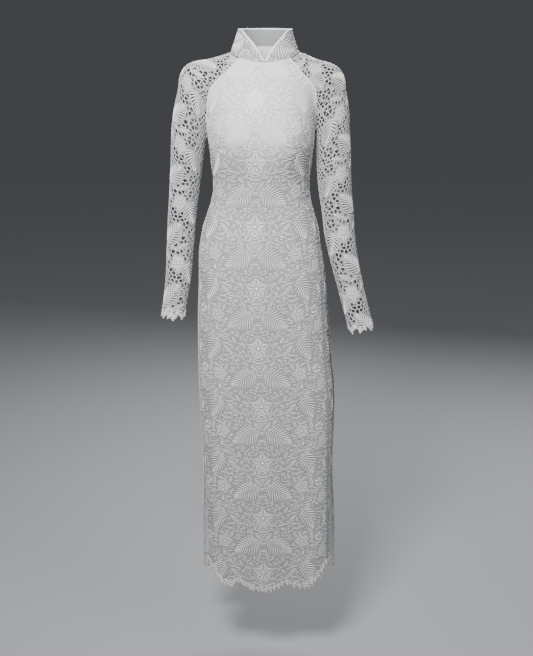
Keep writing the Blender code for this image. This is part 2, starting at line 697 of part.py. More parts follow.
def within(corners, places, loop, holes=()):
    """The triangles that lie inside a loop and outside the holes."""
    middles = places[corners].mean(axis=1)
    keep = inside(middles, loop)
    for hole in holes:
        keep &= ~inside(middles, hole)
    return corners[keep]


def material(name, colour, roughness):
    """A plain cloth material."""
    made = bpy.data.materials.new(name)
    made.use_nodes = True
    shader = made.node_tree.nodes["Principled BSDF"]
    shader.inputs["Base Color"].default_value = (*colour, 1.0)
    shader.inputs["Roughness"].default_value = roughness
    made.diffuse_color = (*colour, 1.0)
    return made


def wall(name, skins, cloth_material):
    """A closed wall from its outer and inner skin, each a pair of points and triangles.

    The rim joins their open edges, which run through points of the same number in both.
    """
    (outer, outer_faces), (inner, inner_faces) = skins
    shell = bmesh.new()
    used = {}

    def vertex(skin, points, i):
        if (skin, i) not in used:
            used[skin, i] = shell.verts.new(points[i])
        return used[skin, i]

    for face in outer_faces:
        shell.faces.new([vertex(0, outer, i) for i in face])
    for face in inner_faces:
        shell.faces.new([vertex(1, inner, i) for i in face[::-1]])
    sides = np.concatenate([outer_faces[:, [a, b]] for a, b in ((0, 1), (1, 2), (2, 0))])
    forward = {tuple(side) for side in sides}
    for a, b in forward:
        if (b, a) not in forward:
            rim = ((0, outer, b), (0, outer, a), (1, inner, a), (1, inner, b))
            shell.faces.new([vertex(*corner) for corner in rim])
    bmesh.ops.recalc_face_normals(shell, faces=shell.faces)
    if shell.calc_volume(signed=True) < 0:
        bmesh.ops.reverse_faces(shell, faces=shell.faces)
    mesh = bpy.data.meshes.new(name)
    shell.to_mesh(mesh)
    shell.free()
    mesh.materials.append(cloth_material)
    mesh.shade_smooth()
    mesh.set_sharp_from_angle(angle=math.radians(50))
    made = bpy.data.objects.new(name, mesh)
    tunic.objects.link(made)
    return made


def plain_wall(name, cloth, loops, grid, top, bottom, cloth_material):
    """A closed wall of even thickness, with holes, over a grid of points."""
    places = np.concatenate([*loops, grid])
    faces = within(triangles(loops, grid), places, loops[0], loops[1:])
    skins = [(cloth.lifted(places, height), faces) for height in (top, bottom)]
    return wall(name, skins, cloth_material)


def thinned(line, closer_than):
    """A line of points without those that crowd the one before."""
    kept = [line[0]]
    for point in line[1:]:
        if math.dist(point, kept[-1]) > closer_than:
            kept.append(point)
    return kept


def hem_curve(x, reach, hem):
    """The height of a hem's plain curve, which rises to its corners."""
    return hem.lowest + hem.corner_rise * (np.abs(x) / reach) ** 3.2


def hem_line(ends, hem, lining):
    """The points of a hem from its left corner to its right one: scalloped lace, or a plain lining."""
    reach = max(np.abs(ends))
    if lining:
        xs = np.linspace(*ends, 16)[1:-1]
        return [(x, float(hem_curve(x, reach, hem)) + LINING_ABOVE_HEM) for x in xs]
    line = []
    for x in np.linspace(*ends, 46)[1:-1]:
        away = [min(abs(x - lobe.middle) / lobe.half, 1) * math.pi / 2 for lobe in hem.lobes]
        drop = max(lobe.drop * math.cos(turn) ** 0.8 for lobe, turn in zip(hem.lobes, away))
        tooth = TEETH * abs((x / TOOTH_PITCH) % 1.0 - 0.5) * 2
        line.append((x, float(hem_curve(x, reach, hem)) + LOBE_RISE - drop + tooth))
    return line


def body_outline(cloth, side, hem, lining=False):
    """The flat outline of the front or back: neckline, raglan seams, side seams, slit edges and hem.

    The lining's keeps inside the lace at the slits and ends above its scallops.
    """
    which = "front" if side < 0 else "back"
    gap = SEAM_GAP / 2
    shares = np.array([row.share for row in RAGLAN[:-1]])
    shares = np.sort(np.concatenate((shares, (shares[1:] + shares[:-1]) / 2)))
    seam_z = column(RAGLAN, which, shares, "share")
    seam_angle = column(RAGLAN, which + "_angle", shares, "share")
    neck = np.linspace(0 if side < 0 else 180, seam_angle[0], 7)[:-1]
    angles = np.concatenate((neck, seam_angle))
    heights = np.concatenate((column(COLLAR_SEAM, "height", neck, "angle") - gap, seam_z))
    angles = angles if side < 0 else 180 - angles
    halves = []
    for sign, end in ((1, -1), (-1, 0)):
        half = []
        for angle, z in zip(angles, heights):
            sweep = body_points(z, sign * np.linspace(0, angle, 40), side)
            across = np.linalg.norm(np.diff(sweep, axis=0), axis=1).sum()
            half.append((sign * max(across - gap, 0.0), z))
        half += [(float(cloth.reach(z, end)) - sign * gap, z) for z in np.arange(UNDERARM, SLIT_TOP, -0.032)]
        corner = hem.lowest + hem.corner_rise + (LINING_ABOVE_HEM if lining else LOBE_RISE)
        for z in np.arange(SLIT_TOP, corner, -EDGE_PITCH / (1 if lining else 2)):
            opened = min(1.0, (SLIT_TOP - z) / 0.04)
            inset = EDGE_SCALLOP * abs(math.sin(math.pi * (z - SLIT_TOP) / EDGE_PITCH))
            if lining:
                inset = LINING_EDGE_INSET
            half.append((float(cloth.reach(z, end)) - sign * (gap + opened * (SEAM_GAP + inset)), z))
        halves.append(thinned(half, LEAST_STEP))
    right, left = halves
    return np.array(right + hem_line((right[-1][0], left[-1][0]), hem, lining) + left[:0:-1])


def leaf_relief(outline, grid):
    """Raises the large leaves of the lace: the height of each grid point, and further points with theirs."""
    size = np.array((LEAVES[0].long, LEAVES[0].wide))
    lifted = np.zeros(len(grid))
    points, heights = [], []
    for middle in repeats(outline.min(0), outline.max(0), on_panel=True):
        for leaf in LEAVES:
            foot = placed(np.array(LEAF_FOOT) * size, leaf.x, leaf.y, leaf.turn) + middle
            crest = placed(np.array(LEAF_CREST) * size, leaf.x, leaf.y, leaf.turn) + middle
            if not inside(foot, outline).all() or clearance(foot, outline).min() < LEAF_MARGIN:
                continue
            lifted[inside(grid, foot)] = LEAF_RAISE
            points += [*foot, *crest]
            heights += [0.0] * len(foot) + [LEAF_RAISE] * len(crest)
    points, heights = np.array(points), np.array(heights)
    apart = np.array([np.linalg.norm(grid - point, axis=1).min() > LEAF_APART for point in points])
    return lifted, points[apart], heights[apart]


def body_pieces(name, side, hem):
    """The lace panel of the front or back and the satin lining under it.

    The lining and the inner skin of the lace share their points, so that the layers nest.
    """
    cloth = body_cloth(side)
    outline = body_outline(cloth, side, hem)
    under = body_outline(cloth, side, hem, lining=True)
    windows = hem_windows(outline, hem)
    grid = grid_inside([outline, *windows], BODY_GRID, 0.010)
    shared = np.concatenate([outline, *windows, under, grid])
    border = np.concatenate([outline, *windows])
    corners = triangles([outline, *windows, under], grid)
    lining_faces = within(corners, shared, under)
    lining = []
    for depth in (LACE + LAYER_GAP, LACE + LAYER_GAP + LINING):
        lining.append((cloth.lifted(shared, -depth), lining_faces))
    wall(name + "_lining", lining, white_satin)
    lifted, extra, heights = leaf_relief(outline, grid)
    outer = np.concatenate([border, grid, extra])
    rise = np.concatenate([np.zeros(len(border)), lifted, heights])
    outer_corners = triangles([outline, *windows], np.concatenate([grid, extra]))
    outer_faces = within(outer_corners, outer, outline, windows)
    inner_faces = within(corners, shared, outline, windows)
    skins = ((cloth.lifted(outer, rise), outer_faces), (cloth.lifted(shared, -LACE), inner_faces))
    wall(name + "_lace", skins, white_lace)


def sleeve_pieces(name, side, arm, end):
    """The two halves of a sleeve, in front of its crown line and behind it."""
    cloth = sleeve_cloth(side, arm, end)
    fall = [cloth.at([(0.0, level)])[0, 2] for level in cloth.levels]
    cuff = float(np.interp(-end, -np.array(fall), cloth.levels))
    underarm = cloth.levels[NECK_RINGS + SHOULDER_RINGS_MADE - 2]
    for half, seam, sign in (("front", 0, -1), ("back", -1, 1)):
        levels = np.linspace(SLEEVE_BELOW_SEAM, underarm, 17)
        levels = np.concatenate((levels, np.linspace(underarm, cuff - CUFF_LOBE, 19)[1:]))
        widens = UNDERARM_WIDENS * np.exp(-(((levels - underarm) / UNDERARM_LENGTH) ** 2))
        gap = UNDERARM_SEAM_GAP / 2 + widens
        edge = [(float(cloth.reach(v, seam)) - sign * g, v) for v, g in zip(levels, gap)]
        reach = abs(edge[-1][0])
        lobe = 2 * reach / CUFF_LOBES
        across = np.linspace(reach, SEAM_GAP / 2, 4 * CUFF_LOBES // 2 + 1)[1:-1]
        hem = [(sign * x, cuff - CUFF_LOBE + CUFF_LOBE * abs(math.sin(math.pi * x / lobe))) for x in across]
        crown = [(sign * SEAM_GAP / 2, v) for v in np.linspace(cuff - CUFF_LOBE, SLEEVE_BELOW_SEAM, 28)]
        outline = np.array(thinned(edge + hem + crown, LEAST_STEP))
        loops = [outline, *windows_in(outline, WINDOW_MARGIN)]
        grid = grid_inside(loops, SLEEVE_GRID, 0.008)
        plain_wall(f"sleeve_{name}_{half}", cloth, loops, grid, 0.0, -SLEEVE_LACE, white_lace)


def collar_pieces():
    """The standing collar with its V, and the satin binding along its edge."""
    cloth, angles = collar_cloth()
    across = cloth.across[0]
    share = column(COLLAR_V, "share", np.minimum(angles, 360 - angles), "angle")
    edge = np.clip(share, COLLAR_LEAST, 1.0) * COLLAR_TALL
    picks = np.arange(0, len(angles), 3)
    bottom = [(across[i], COLLAR_ABOVE_SEAM) for i in picks]
    top = [(across[i], edge[i] - COLLAR_BELOW_BINDING) for i in picks[::-1]]
    rows = (COLLAR_TALL * 0.35, COLLAR_TALL * 0.68)
    grid = [(across[i], level) for i in picks[1:-1] for level in rows if level < edge[i] - 0.008]
    loops = [np.array(bottom + top)]
    plain_wall("collar", cloth, loops, np.array(grid), COLLAR_WALL / 2, -COLLAR_WALL / 2, white_lace)
    line = bpy.data.curves.new("collar_binding", "CURVE")
    line.dimensions = "3D"
    line.bevel_depth = BINDING_RADIUS
    line.bevel_resolution = 1
    line.use_fill_caps = True
    line.materials.append(white_satin)
    spline = line.splines.new("POLY")
    spline.points.add(len(picks) - 1)
    middle = cloth.at([(across[i], edge[i]) for i in picks])
    middle[:, 2] += BINDING_RADIUS + SEAM_GAP
    for point, place in zip(spline.points, middle):
        point.co = (*place, 1.0)
    tunic.objects.link(bpy.data.objects.new("collar_binding", line))


def clear_scene():
    """Remove whatever the scene starts with."""
    for old in list(bpy.data.objects):
        bpy.data.objects.remove(old)


clear_scene()
tunic = bpy.data.collections.new("ao_dai_tunic")
bpy.context.scene.collection.children.link(tunic)
white_lace = material("white_lace", WHITE_LACE, 0.75)
white_satin = material("white_satin", WHITE_SATIN, 0.40)
body_pieces("front", -1, FRONT_HEM)
body_pieces("back", 1, BACK_HEM)
sleeve_pieces("right", -1, RIGHT_ARM, SLEEVE_END["right"])
sleeve_pieces("left", 1, LEFT_ARM, SLEEVE_END["left"])
collar_pieces()
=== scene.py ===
"""The looks of a long white lace ao dai tunic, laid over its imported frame.

The file is laid out as an add-on and run as a script. Each lace piece is cut from one lace design, drawn
flat as a repeat of leaves, flowers, petals, star nets and open windows, and laid on the tunic's own curved
cloths. Metres, +Z up, the tunic faces -Y. Right and left are the wearer's: the right sleeve is at -X.
"""

import math
from collections import namedtuple

import bpy
import numpy as np
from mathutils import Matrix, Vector
from mathutils.geometry import delaunay_2d_cdt


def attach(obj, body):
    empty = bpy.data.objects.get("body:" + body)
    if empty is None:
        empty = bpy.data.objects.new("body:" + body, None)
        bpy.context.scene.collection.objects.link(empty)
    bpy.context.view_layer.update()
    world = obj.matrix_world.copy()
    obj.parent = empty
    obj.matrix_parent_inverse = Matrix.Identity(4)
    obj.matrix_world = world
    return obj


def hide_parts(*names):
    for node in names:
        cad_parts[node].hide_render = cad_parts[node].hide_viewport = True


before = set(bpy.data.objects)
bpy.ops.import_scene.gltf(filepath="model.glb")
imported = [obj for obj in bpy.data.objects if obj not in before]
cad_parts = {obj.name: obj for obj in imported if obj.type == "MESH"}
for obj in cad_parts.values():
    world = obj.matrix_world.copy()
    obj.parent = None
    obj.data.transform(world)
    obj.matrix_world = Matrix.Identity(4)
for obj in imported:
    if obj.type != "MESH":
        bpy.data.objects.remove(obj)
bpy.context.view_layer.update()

bl_info = {
    "name": "White Lace Ao Dai",
    "version": (1, 0, 0),
    "blender": (4, 5, 0),
    "location": "View3D > Sidebar > Ao Dai",
    "description": "Makes a long white lace ao dai tunic with satin lining and a plain studio",
    "category": "Object",
}

# Cloth thicknesses and the gaps between layers and pieces
LACE = 0.0014
COLLAR_WALL = 0.0024
LAYER_GAP = 0.0007
SEAM_GAP = 0.0005
# Heights along the tunic
UNDERARM = -0.172
SLIT_TOP = -0.362
LINING_ABOVE_HEM = 0.050
LINING_EDGE_INSET = 0.009
REPEAT_TALL = 0.143
REPEAT_START = -0.050
LACE_AXIS = -0.013
# The body of the figure and of the two hanging flaps, from the neck down. centre is the middle in x,
# the halves are half widths, front and back are depths from the side edges, which lie at the two edges.
Section = namedtuple("Section", "height centre front_half back_half front back front_edge back_edge")
SECTIONS = (
    Section(0.060, 0.000, 0.054, 0.054, 0.046, 0.050, 0.000, 0.000),
    Section(0.037, 0.000, 0.059, 0.059, 0.050, 0.056, 0.000, 0.000),
    Section(0.018, 0.000, 0.064, 0.064, 0.054, 0.062, 0.000, 0.000),
    Section(0.003, 0.000, 0.076, 0.076, 0.058, 0.070, 0.000, 0.000),
    Section(-0.014, -0.001, 0.098, 0.098, 0.064, 0.080, 0.000, 0.000),
    Section(-0.045, -0.004, 0.116, 0.116, 0.077, 0.094, 0.000, 0.000),
    Section(-0.085, -0.007, 0.124, 0.124, 0.093, 0.104, 0.000, 0.000),
    Section(-0.130, -0.009, 0.1245, 0.1245, 0.105, 0.108, 0.000, 0.000),
    Section(-0.180, -0.009, 0.1225, 0.1225, 0.110, 0.106, 0.000, 0.000),
    Section(-0.212, -0.008, 0.1185, 0.1185, 0.108, 0.101, 0.000, 0.000),
    Section(-0.250, -0.009, 0.1140, 0.1140, 0.098, 0.093, 0.000, 0.000),
    Section(-0.287, -0.008, 0.1110, 0.1110, 0.088, 0.084, 0.000, 0.000),
    Section(-0.325, -0.009, 0.1170, 0.1170, 0.083, 0.081, 0.000, 0.000),
    Section(-0.362, -0.010, 0.1290, 0.1290, 0.084, 0.087, 0.000, 0.000),
    Section(-0.400, -0.011, 0.1385, 0.1385, 0.087, 0.097, -0.001, 0.001),
    Section(-0.437, -0.011, 0.1440, 0.1450, 0.089, 0.106, -0.002, 0.002),
    Section(-0.500, -0.007, 0.1490, 0.1510, 0.088, 0.113, -0.006, 0.005),
    Section(-0.587, -0.005, 0.1530, 0.1570, 0.083, 0.111, -0.012, 0.010),
    Section(-0.700, -0.001, 0.157, 0.163, 0.074, 0.102, -0.022, 0.018),
    Section(-0.780, 0.004, 0.160, 0.168, 0.066, 0.094, -0.030, 0.026),
    Section(-0.860, 0.006, 0.158, 0.168, 0.060, 0.086, -0.036, 0.034),
    Section(-1.000, 0.007, 0.153, 0.165, 0.052, 0.074, -0.044, 0.042),
    Section(-1.150, 0.009, 0.153, 0.171, 0.048, 0.066, -0.050, 0.048),
    Section(-1.345, 0.009, 0.153, 0.172, 0.046, 0.062, -0.054, 0.050),
)
SECTION_POWER = 2.25
BODY_LOW = -1.345
BODY_HIGH = 0.045
BODY_COLUMNS = 73
# The two bust cups, as smooth swellings of the front
CUP_APART = 0.066
CUP_HEIGHT = -0.186
CUP_SIZE = (0.040, 0.046)
CUP_SWELL = 0.017
# Soft hanging folds of the flaps: where each runs in x, its width and how far it stands out at the hem
Fold = namedtuple("Fold", "x width depth")
FRONT_FOLDS = (
    Fold(-0.118, 0.022, 0.005),
    Fold(-0.062, 0.026, -0.004),
    Fold(0.006, 0.034, 0.004),
    Fold(0.072, 0.026, -0.005),
    Fold(0.128, 0.020, 0.006),
)
BACK_FOLDS = (
    Fold(-0.128, 0.022, 0.008),
    Fold(-0.070, 0.028, -0.007),
    Fold(-0.008, 0.036, 0.007),
    Fold(0.062, 0.028, -0.007),
    Fold(0.126, 0.020, 0.009),
)
FOLDS_BEGIN = -0.560
FOLDS_GROW = 1.3
# The arms inside the sleeves, from the shoulder joint to below the cuff
Arm = namedtuple("Arm", "height x y radius")
RIGHT_ARM = (
    Arm(-0.052, -0.1500, 0.004, 0.0435),
    Arm(-0.100, -0.1665, 0.004, 0.0405),
    Arm(-0.160, -0.1762, 0.005, 0.0398),
    Arm(-0.228, -0.1828, 0.007, 0.0370),
    Arm(-0.298, -0.1900, 0.007, 0.0342),
    Arm(-0.369, -0.1975, 0.003, 0.0322),
    Arm(-0.440, -0.2020, -0.008, 0.0308),
    Arm(-0.513, -0.2080, -0.022, 0.0285),
    Arm(-0.587, -0.2185, -0.038, 0.0272),
    Arm(-0.660, -0.2270, -0.055, 0.0265),
)
LEFT_ARM = (
    Arm(-0.055, 0.1370, 0.004, 0.0430),
    Arm(-0.100, 0.1500, 0.004, 0.0415),
    Arm(-0.160, 0.1575, 0.005, 0.0390),
    Arm(-0.228, 0.1605, 0.007, 0.0392),
    Arm(-0.298, 0.1655, 0.006, 0.0380),
    Arm(-0.350, 0.1720, 0.003, 0.0362),
    Arm(-0.405, 0.1775, -0.004, 0.0350),
    Arm(-0.440, 0.1836, -0.010, 0.0333),
    Arm(-0.477, 0.1915, -0.017, 0.0317),
    Arm(-0.513, 0.2005, -0.024, 0.0305),
    Arm(-0.587, 0.2200, -0.040, 0.0294),
    Arm(-0.660, 0.2390, -0.056, 0.0290),
)
# Where the slope from neck to shoulder starts (x, y, z) and its radius there
SHOULDER_ROOT = (0.080, 0.004, -0.034, 0.0440)
# How round the hollows are where arm meets slope, and where they meet the body at three heights
ARM_BLEND = 0.014
BODY_BLEND_AT = (UNDERARM, -0.09, 0.0)
BODY_BLEND = (0.004, 0.022, 0.026)
# The raglan seam from the collar (share 0) to the underarm (share 1): height and angle from the centre
# front, in degrees, of its front and its back line.
Seam = namedtuple("Seam", "share front front_angle back back_angle")
RAGLAN = (
    Seam(0.00, 0.000, 50.0, 0.026, 130.0),
    Seam(0.15, -0.014, 54.0, 0.012, 127.0),
    Seam(0.30, -0.029, 58.0, -0.006, 123.0),
    Seam(0.45, -0.043, 63.0, -0.027, 120.0),
    Seam(0.60, -0.060, 68.5, -0.054, 117.0),
    Seam(0.75, -0.090, 74.0, -0.088, 112.5),
    Seam(0.88, -0.130, 80.5, -0.130, 104.0),
    Seam(1.00, UNDERARM, 90.0, UNDERARM, 90.0),
)
# The rings of the raglan sleeve's shoulder: the point that each is drawn round, and how far its crown
# direction is tilted up, in degrees.
Ring = namedtuple("Ring", "share x height tilt")
SHOULDER_RINGS = (
    Ring(0.00, 0.052, -0.014, 66.0),
    Ring(0.15, 0.072, -0.022, 74.0),
    Ring(0.30, 0.094, -0.030, 77.0),
    Ring(0.50, 0.124, -0.046, 68.0),
    Ring(0.70, 0.148, -0.068, 47.0),
    Ring(0.85, 0.162, -0.094, 27.0),
    Ring(1.00, 0.172, -0.124, 12.0),
)
SHOULDER_COLUMNS = ("x", "height", "tilt")
SHOULDER_RINGS_MADE_FOR = 0.160
LIMB_SLACK = 0.020
ARM_SETTLES_IN = 0.20
SLEEVE_COLUMNS = 49
NECK_SHARE = 0.25
NECK_RINGS = 8
SHOULDER_RINGS_MADE = 22
ARM_RINGS_MADE = 44
RING_STEP = 0.012
BELOW_CUFF = 0.03
SLEEVE_END = {"right": -0.588, "left": -0.616}
# The collar seam round the neck: angle from the centre front, in degrees, and height
CollarSeam = namedtuple("CollarSeam", "angle height")
COLLAR_SEAM = (
    CollarSeam(0.0, -0.010),
    CollarSeam(24.0, -0.007),
    CollarSeam(50.0, 0.000),
    CollarSeam(70.0, 0.008),
    CollarSeam(90.0, 0.016),
    CollarSeam(130.0, 0.026),
    CollarSeam(180.0, 0.030),
)
COLLAR_TOP = 0.057
COLLAR_TOP_BACK_RISE = 0.008
COLLAR_TOP_RADII = (0.0600, 0.0550)
COLLAR_TOP_FORWARD = 0.008
COLLAR_WAIST = 0.0010
# The V of the collar: angle from the centre front and share of the collar's height there
CollarEdge = namedtuple("CollarEdge", "angle share")
COLLAR_V = (
    CollarEdge(0.0, 0.00),
    CollarEdge(8.0, 0.20),
    CollarEdge(18.0, 0.43),
    CollarEdge(32.0, 0.66),
    CollarEdge(46.0, 0.85),
    CollarEdge(58.0, 0.98),
    CollarEdge(72.0, 1.00),
    CollarEdge(180.0, 1.00),
)
COLLAR_OPENS_AT = 0.4
COLLAR_TALL = 0.060
# The edge dips further beside the opening: how far, over how many degrees, and how low it may come
COLLAR_DIP = 0.10
COLLAR_DIP_WIDE = 6.0
COLLAR_LEAST = 0.045
COLLAR_ABOVE_SEAM = 0.0012
COLLAR_BELOW_BINDING = 0.0008
BINDING_RADIUS = 0.0015
# How near the points of one outline may come, and how far apart they lie down a side seam
LEAST_STEP = 0.003
SIDE_SEAM_STEP = 0.032
# Scalloped lace hems: each lobe's middle, half width and drop below its neighbours, then each hem's
# lowest height and how far its corners rise
Lobe = namedtuple("Lobe", "middle half drop")
FRONT_LOBES = (
    Lobe(-0.108, 0.032, 0.022),
    Lobe(-0.018, 0.062, 0.020),
    Lobe(0.092, 0.048, 0.022),
)
BACK_LOBES = (
    Lobe(-0.120, 0.034, 0.020),
    Lobe(-0.045, 0.040, 0.018),
    Lobe(0.040, 0.044, 0.021),
    Lobe(0.122, 0.036, 0.019),
)
Hem = namedtuple("Hem", "lowest corner_rise lobes")
FRONT_HEM = Hem(-1.280, 0.052, FRONT_LOBES)
BACK_HEM = Hem(-1.336, 0.022, BACK_LOBES)
LOBE_RISE = 0.020
TEETH = 0.0045
TOOTH_PITCH = 0.0175
EDGE_SCALLOP = 0.0030
EDGE_PITCH = REPEAT_TALL / 4
CUFF_LOBE = 0.013
CUFF_LOBES = 6
SLEEVE_BELOW_SEAM = 0.0008
# The distances at which a ray is tested for the figure's surface: first, last and how many
SEARCH = (0.004, 0.26, 96)


def smooth(at, knots, values):
    """Values at the wanted places of a smooth curve that passes through the knots."""
    order = np.argsort(knots)
    knots = np.asarray(knots, float)[order]
    values = np.asarray(values, float)[order]
    slopes = np.gradient(values, knots)
    i = np.clip(np.searchsorted(knots, at) - 1, 0, len(knots) - 2)
    step = knots[i + 1] - knots[i]
    f = np.clip((np.asarray(at, float) - knots[i]) / step, 0.0, 1.0)
    rise = values[i] * (1 + 2 * f) * (1 - f) ** 2 + values[i + 1] * f * f * (3 - 2 * f)
    return rise + step * f * (1 - f) * (slopes[i] * (1 - f) - slopes[i + 1] * f)


def column(table, name, at, key="height"):
    """A column of a table, read smoothly at the wanted values of its key column."""
    return smooth(at, [getattr(row, key) for row in table], [getattr(row, name) for row in table])


def soft_min(a, b, radius):
    """The smaller of two fields, with the crease between them rounded."""
    h = np.clip(0.5 + 0.5 * (b - a) / radius, 0.0, 1.0)
    return b * (1 - h) + a * h - radius * h * (1 - h)


def cup_swell(x, z):
    """How far the bust cups push the front out."""
    away = (np.abs(x - column(SECTIONS, "centre", z)) - CUP_APART) / CUP_SIZE[0]
    return CUP_SWELL * np.exp(-(away**2) - ((z - CUP_HEIGHT) / CUP_SIZE[1]) ** 2)


def body_field(p):
    """Below zero inside the body or between the flaps, above zero outside."""
    x, y, z = p[..., 0], p[..., 1], p[..., 2]
    in_front = y < 0
    half = np.where(in_front, column(SECTIONS, "front_half", z), column(SECTIONS, "back_half", z))
    depth = np.where(in_front, column(SECTIONS, "front", z), column(SECTIONS, "back", z))
    edge = np.where(in_front, column(SECTIONS, "front_edge", z), column(SECTIONS, "back_edge", z))
    out = np.where(in_front, -(y - edge) - cup_swell(x, z), y - edge)
    across = np.abs(x - column(SECTIONS, "centre", z)) / half
    deep = np.maximum(out, 0.0) / depth
    size = (across**SECTION_POWER + deep**SECTION_POWER) ** (1 / SECTION_POWER)
    return (size - 1.0) * np.minimum(half, depth)


def arm_field(p, arm):
    """Below zero inside an arm."""
    z = np.clip(p[..., 2], arm[-1].height, arm[0].height)
    x, y = column(arm, "x", z), column(arm, "y", z)
    away = np.sqrt((p[..., 0] - x) ** 2 + (p[..., 1] - y) ** 2 + (p[..., 2] - z) ** 2)
    return away - column(arm, "radius", z)


def root_field(p, arm):
    """Below zero inside the sloping stretch from the neck to the shoulder joint."""
    side = math.copysign(1, arm[0].x)
    start = np.array((side * SHOULDER_ROOT[0], *SHOULDER_ROOT[1:3]))
    line = np.array((arm[0].x, arm[0].y, arm[0].height)) - start
    f = np.clip(((p - start) @ line) / (line @ line), 0.0, 1.0)
    away = np.linalg.norm(p - start - f[..., None] * line, axis=-1)
    return away - (SHOULDER_ROOT[3] * (1 - f) + arm[0].radius * f)


def figure_field(p):
    """The whole figure: the body, with the shoulders and arms blended in above the underarm."""
    round_off = np.interp(p[..., 2], BODY_BLEND_AT, BODY_BLEND)
    field = body_field(p)
    for arm in (RIGHT_ARM, LEFT_ARM):
        limb = soft_min(arm_field(p, arm), root_field(p, arm), ARM_BLEND)
        field = np.where(p[..., 2] > UNDERARM, soft_min(field, limb, round_off), field)
    return field


def how_far(start, direction, field):
    """How far the first place is, outward along each ray, where the field turns positive."""
    reach = np.linspace(*SEARCH)
    start, direction = np.broadcast_arrays(start, direction)
    values = field(start[..., None, :] + direction[..., None, :] * reach[:, None])
    first = np.maximum(np.argmax(values > 0, axis=-1), 1)
    low, high = reach[first - 1], reach[first]
    for _ in range(24):
        middle = (low + high) / 2
        outside = field(start + direction * middle[..., None]) > 0
        low, high = np.where(outside, low, middle), np.where(outside, middle, high)
    return (low + high) / 2


def cast(start, direction, field):
    """The first points outward along the rays where the field turns positive."""
    return start + direction * how_far(start, direction, field)[..., None]


def fold_out(x, z, folds):
    """How far the flap's soft folds stand out."""
    grown = np.clip((FOLDS_BEGIN - z) / (FOLDS_BEGIN - FRONT_HEM.lowest), 0.0, 1.0) ** FOLDS_GROW
    return grown * sum(f.depth * np.exp(-(((x - f.x) / f.width) ** 2)) for f in folds)


def body_points(z, degrees, side):
    """Points of the front (side -1) or back (side 1) of the body. Angle 0 is its centre line."""
    z, angle = np.broadcast_arrays(np.asarray(z, float), np.radians(degrees))
    edge = column(SECTIONS, "front_edge" if side < 0 else "back_edge", z)
    start = np.stack((column(SECTIONS, "centre", z), edge + side * 1e-6, z), axis=-1)
    ray = np.stack((np.sin(angle), side * np.maximum(np.cos(angle), 1e-4), 0 * angle), axis=-1)
    points = cast(start, ray, figure_field)
    folds = FRONT_FOLDS if side < 0 else BACK_FOLDS
    points[..., 1] += side * fold_out(points[..., 0], z, folds)
    return points


def seam_points(share, which, sign):
    """Points of the raglan seam's front or back line on the side of that sign."""
    height = column(RAGLAN, which, share, "share")
    angle = column(RAGLAN, which + "_angle", share, "share")
    if which == "front":
        return body_points(height, sign * angle, -1)
    return body_points(height, sign * (180.0 - angle), 1)


class Cloth:
    """A curved cloth: rows of points at rising levels, measured across from the middle column."""

    def __init__(self, levels, rows, across=None):
        self.levels, self.rows = np.asarray(levels, float), np.asarray(rows, float)
        if across is None:
            steps = np.linalg.norm(np.diff(self.rows, axis=1), axis=2)
            along = np.concatenate((np.zeros((len(rows), 1)), np.cumsum(steps, axis=1)), axis=1)
            across = along - along[:, [along.shape[1] // 2]]
        self.across = np.broadcast_to(across, self.rows.shape[:2])
        self.turned = 1.0
        middle = np.stack((np.zeros(len(levels) - 2), self.levels[1:-1]), axis=1)
        inside = self.rows[1:-1].mean(axis=1)
        outward = ((self.at(middle) - inside) * self.normal(middle)).sum()
        self.turned = math.copysign(1.0, outward)

    def reach(self, level, end):
        """How far the cloth reaches across at a level: end 0 is its first column, -1 its last."""
        return np.interp(level, self.levels, self.across[:, end])

    def at(self, places):
        """Points in space of places (across, level) on the cloth."""
        places = np.asarray(places, float).reshape(-1, 2)
        i = np.clip(np.searchsorted(self.levels, places[:, 1]) - 1, 0, len(self.levels) - 2)
        f = (places[:, 1] - self.levels[i]) / (self.levels[i + 1] - self.levels[i])
        found = np.zeros((len(places), 3))
        for row in np.unique(i):
            here = i == row
            for k, share in ((row, 1 - f[here]), (row + 1, f[here])):
                where, row_across = places[here, 0], self.across[k]
                line = [np.interp(where, row_across, self.rows[k, :, axis]) for axis in range(3)]
                found[here] += share[:, None] * np.stack(line, axis=1)
        return found

    def normal(self, places, step=0.004):
        """Unit normals, pointing out of the garment."""
        places = np.asarray(places, float).reshape(-1, 2)
        low, high = self.levels[0], self.levels[-1]
        up = np.clip(places[:, 1] + step, low, high)
        down = np.clip(places[:, 1] - step, low, high)
        left = np.maximum(places[:, 0] - step, self.reach(places[:, 1], 0))
        right = np.minimum(places[:, 0] + step, self.reach(places[:, 1], -1))
        across = self.at(np.stack((right, places[:, 1]), 1)) - self.at(np.stack((left, places[:, 1]), 1))
        along = self.at(np.stack((places[:, 0], up), 1)) - self.at(np.stack((places[:, 0], down), 1))
        found = np.cross(across, along) * self.turned
        return found / np.maximum(np.linalg.norm(found, axis=1), 1e-12)[:, None]

    def lifted(self, places, height):
        """Points in space, moved out along the normals by a height, or by one height each."""
        return self.at(places) + self.normal(places) * np.reshape(height, (-1, 1))


def body_cloth(side):
    """The front or back cloth, with heights as its levels."""
    levels = np.concatenate((np.arange(BODY_LOW, UNDERARM, 0.0175), np.arange(UNDERARM, BODY_HIGH, 0.007)))
    angles = np.linspace(-90.0, 90.0, BODY_COLUMNS)
    return Cloth(levels, body_points(levels[:, None], angles[None, :], side))


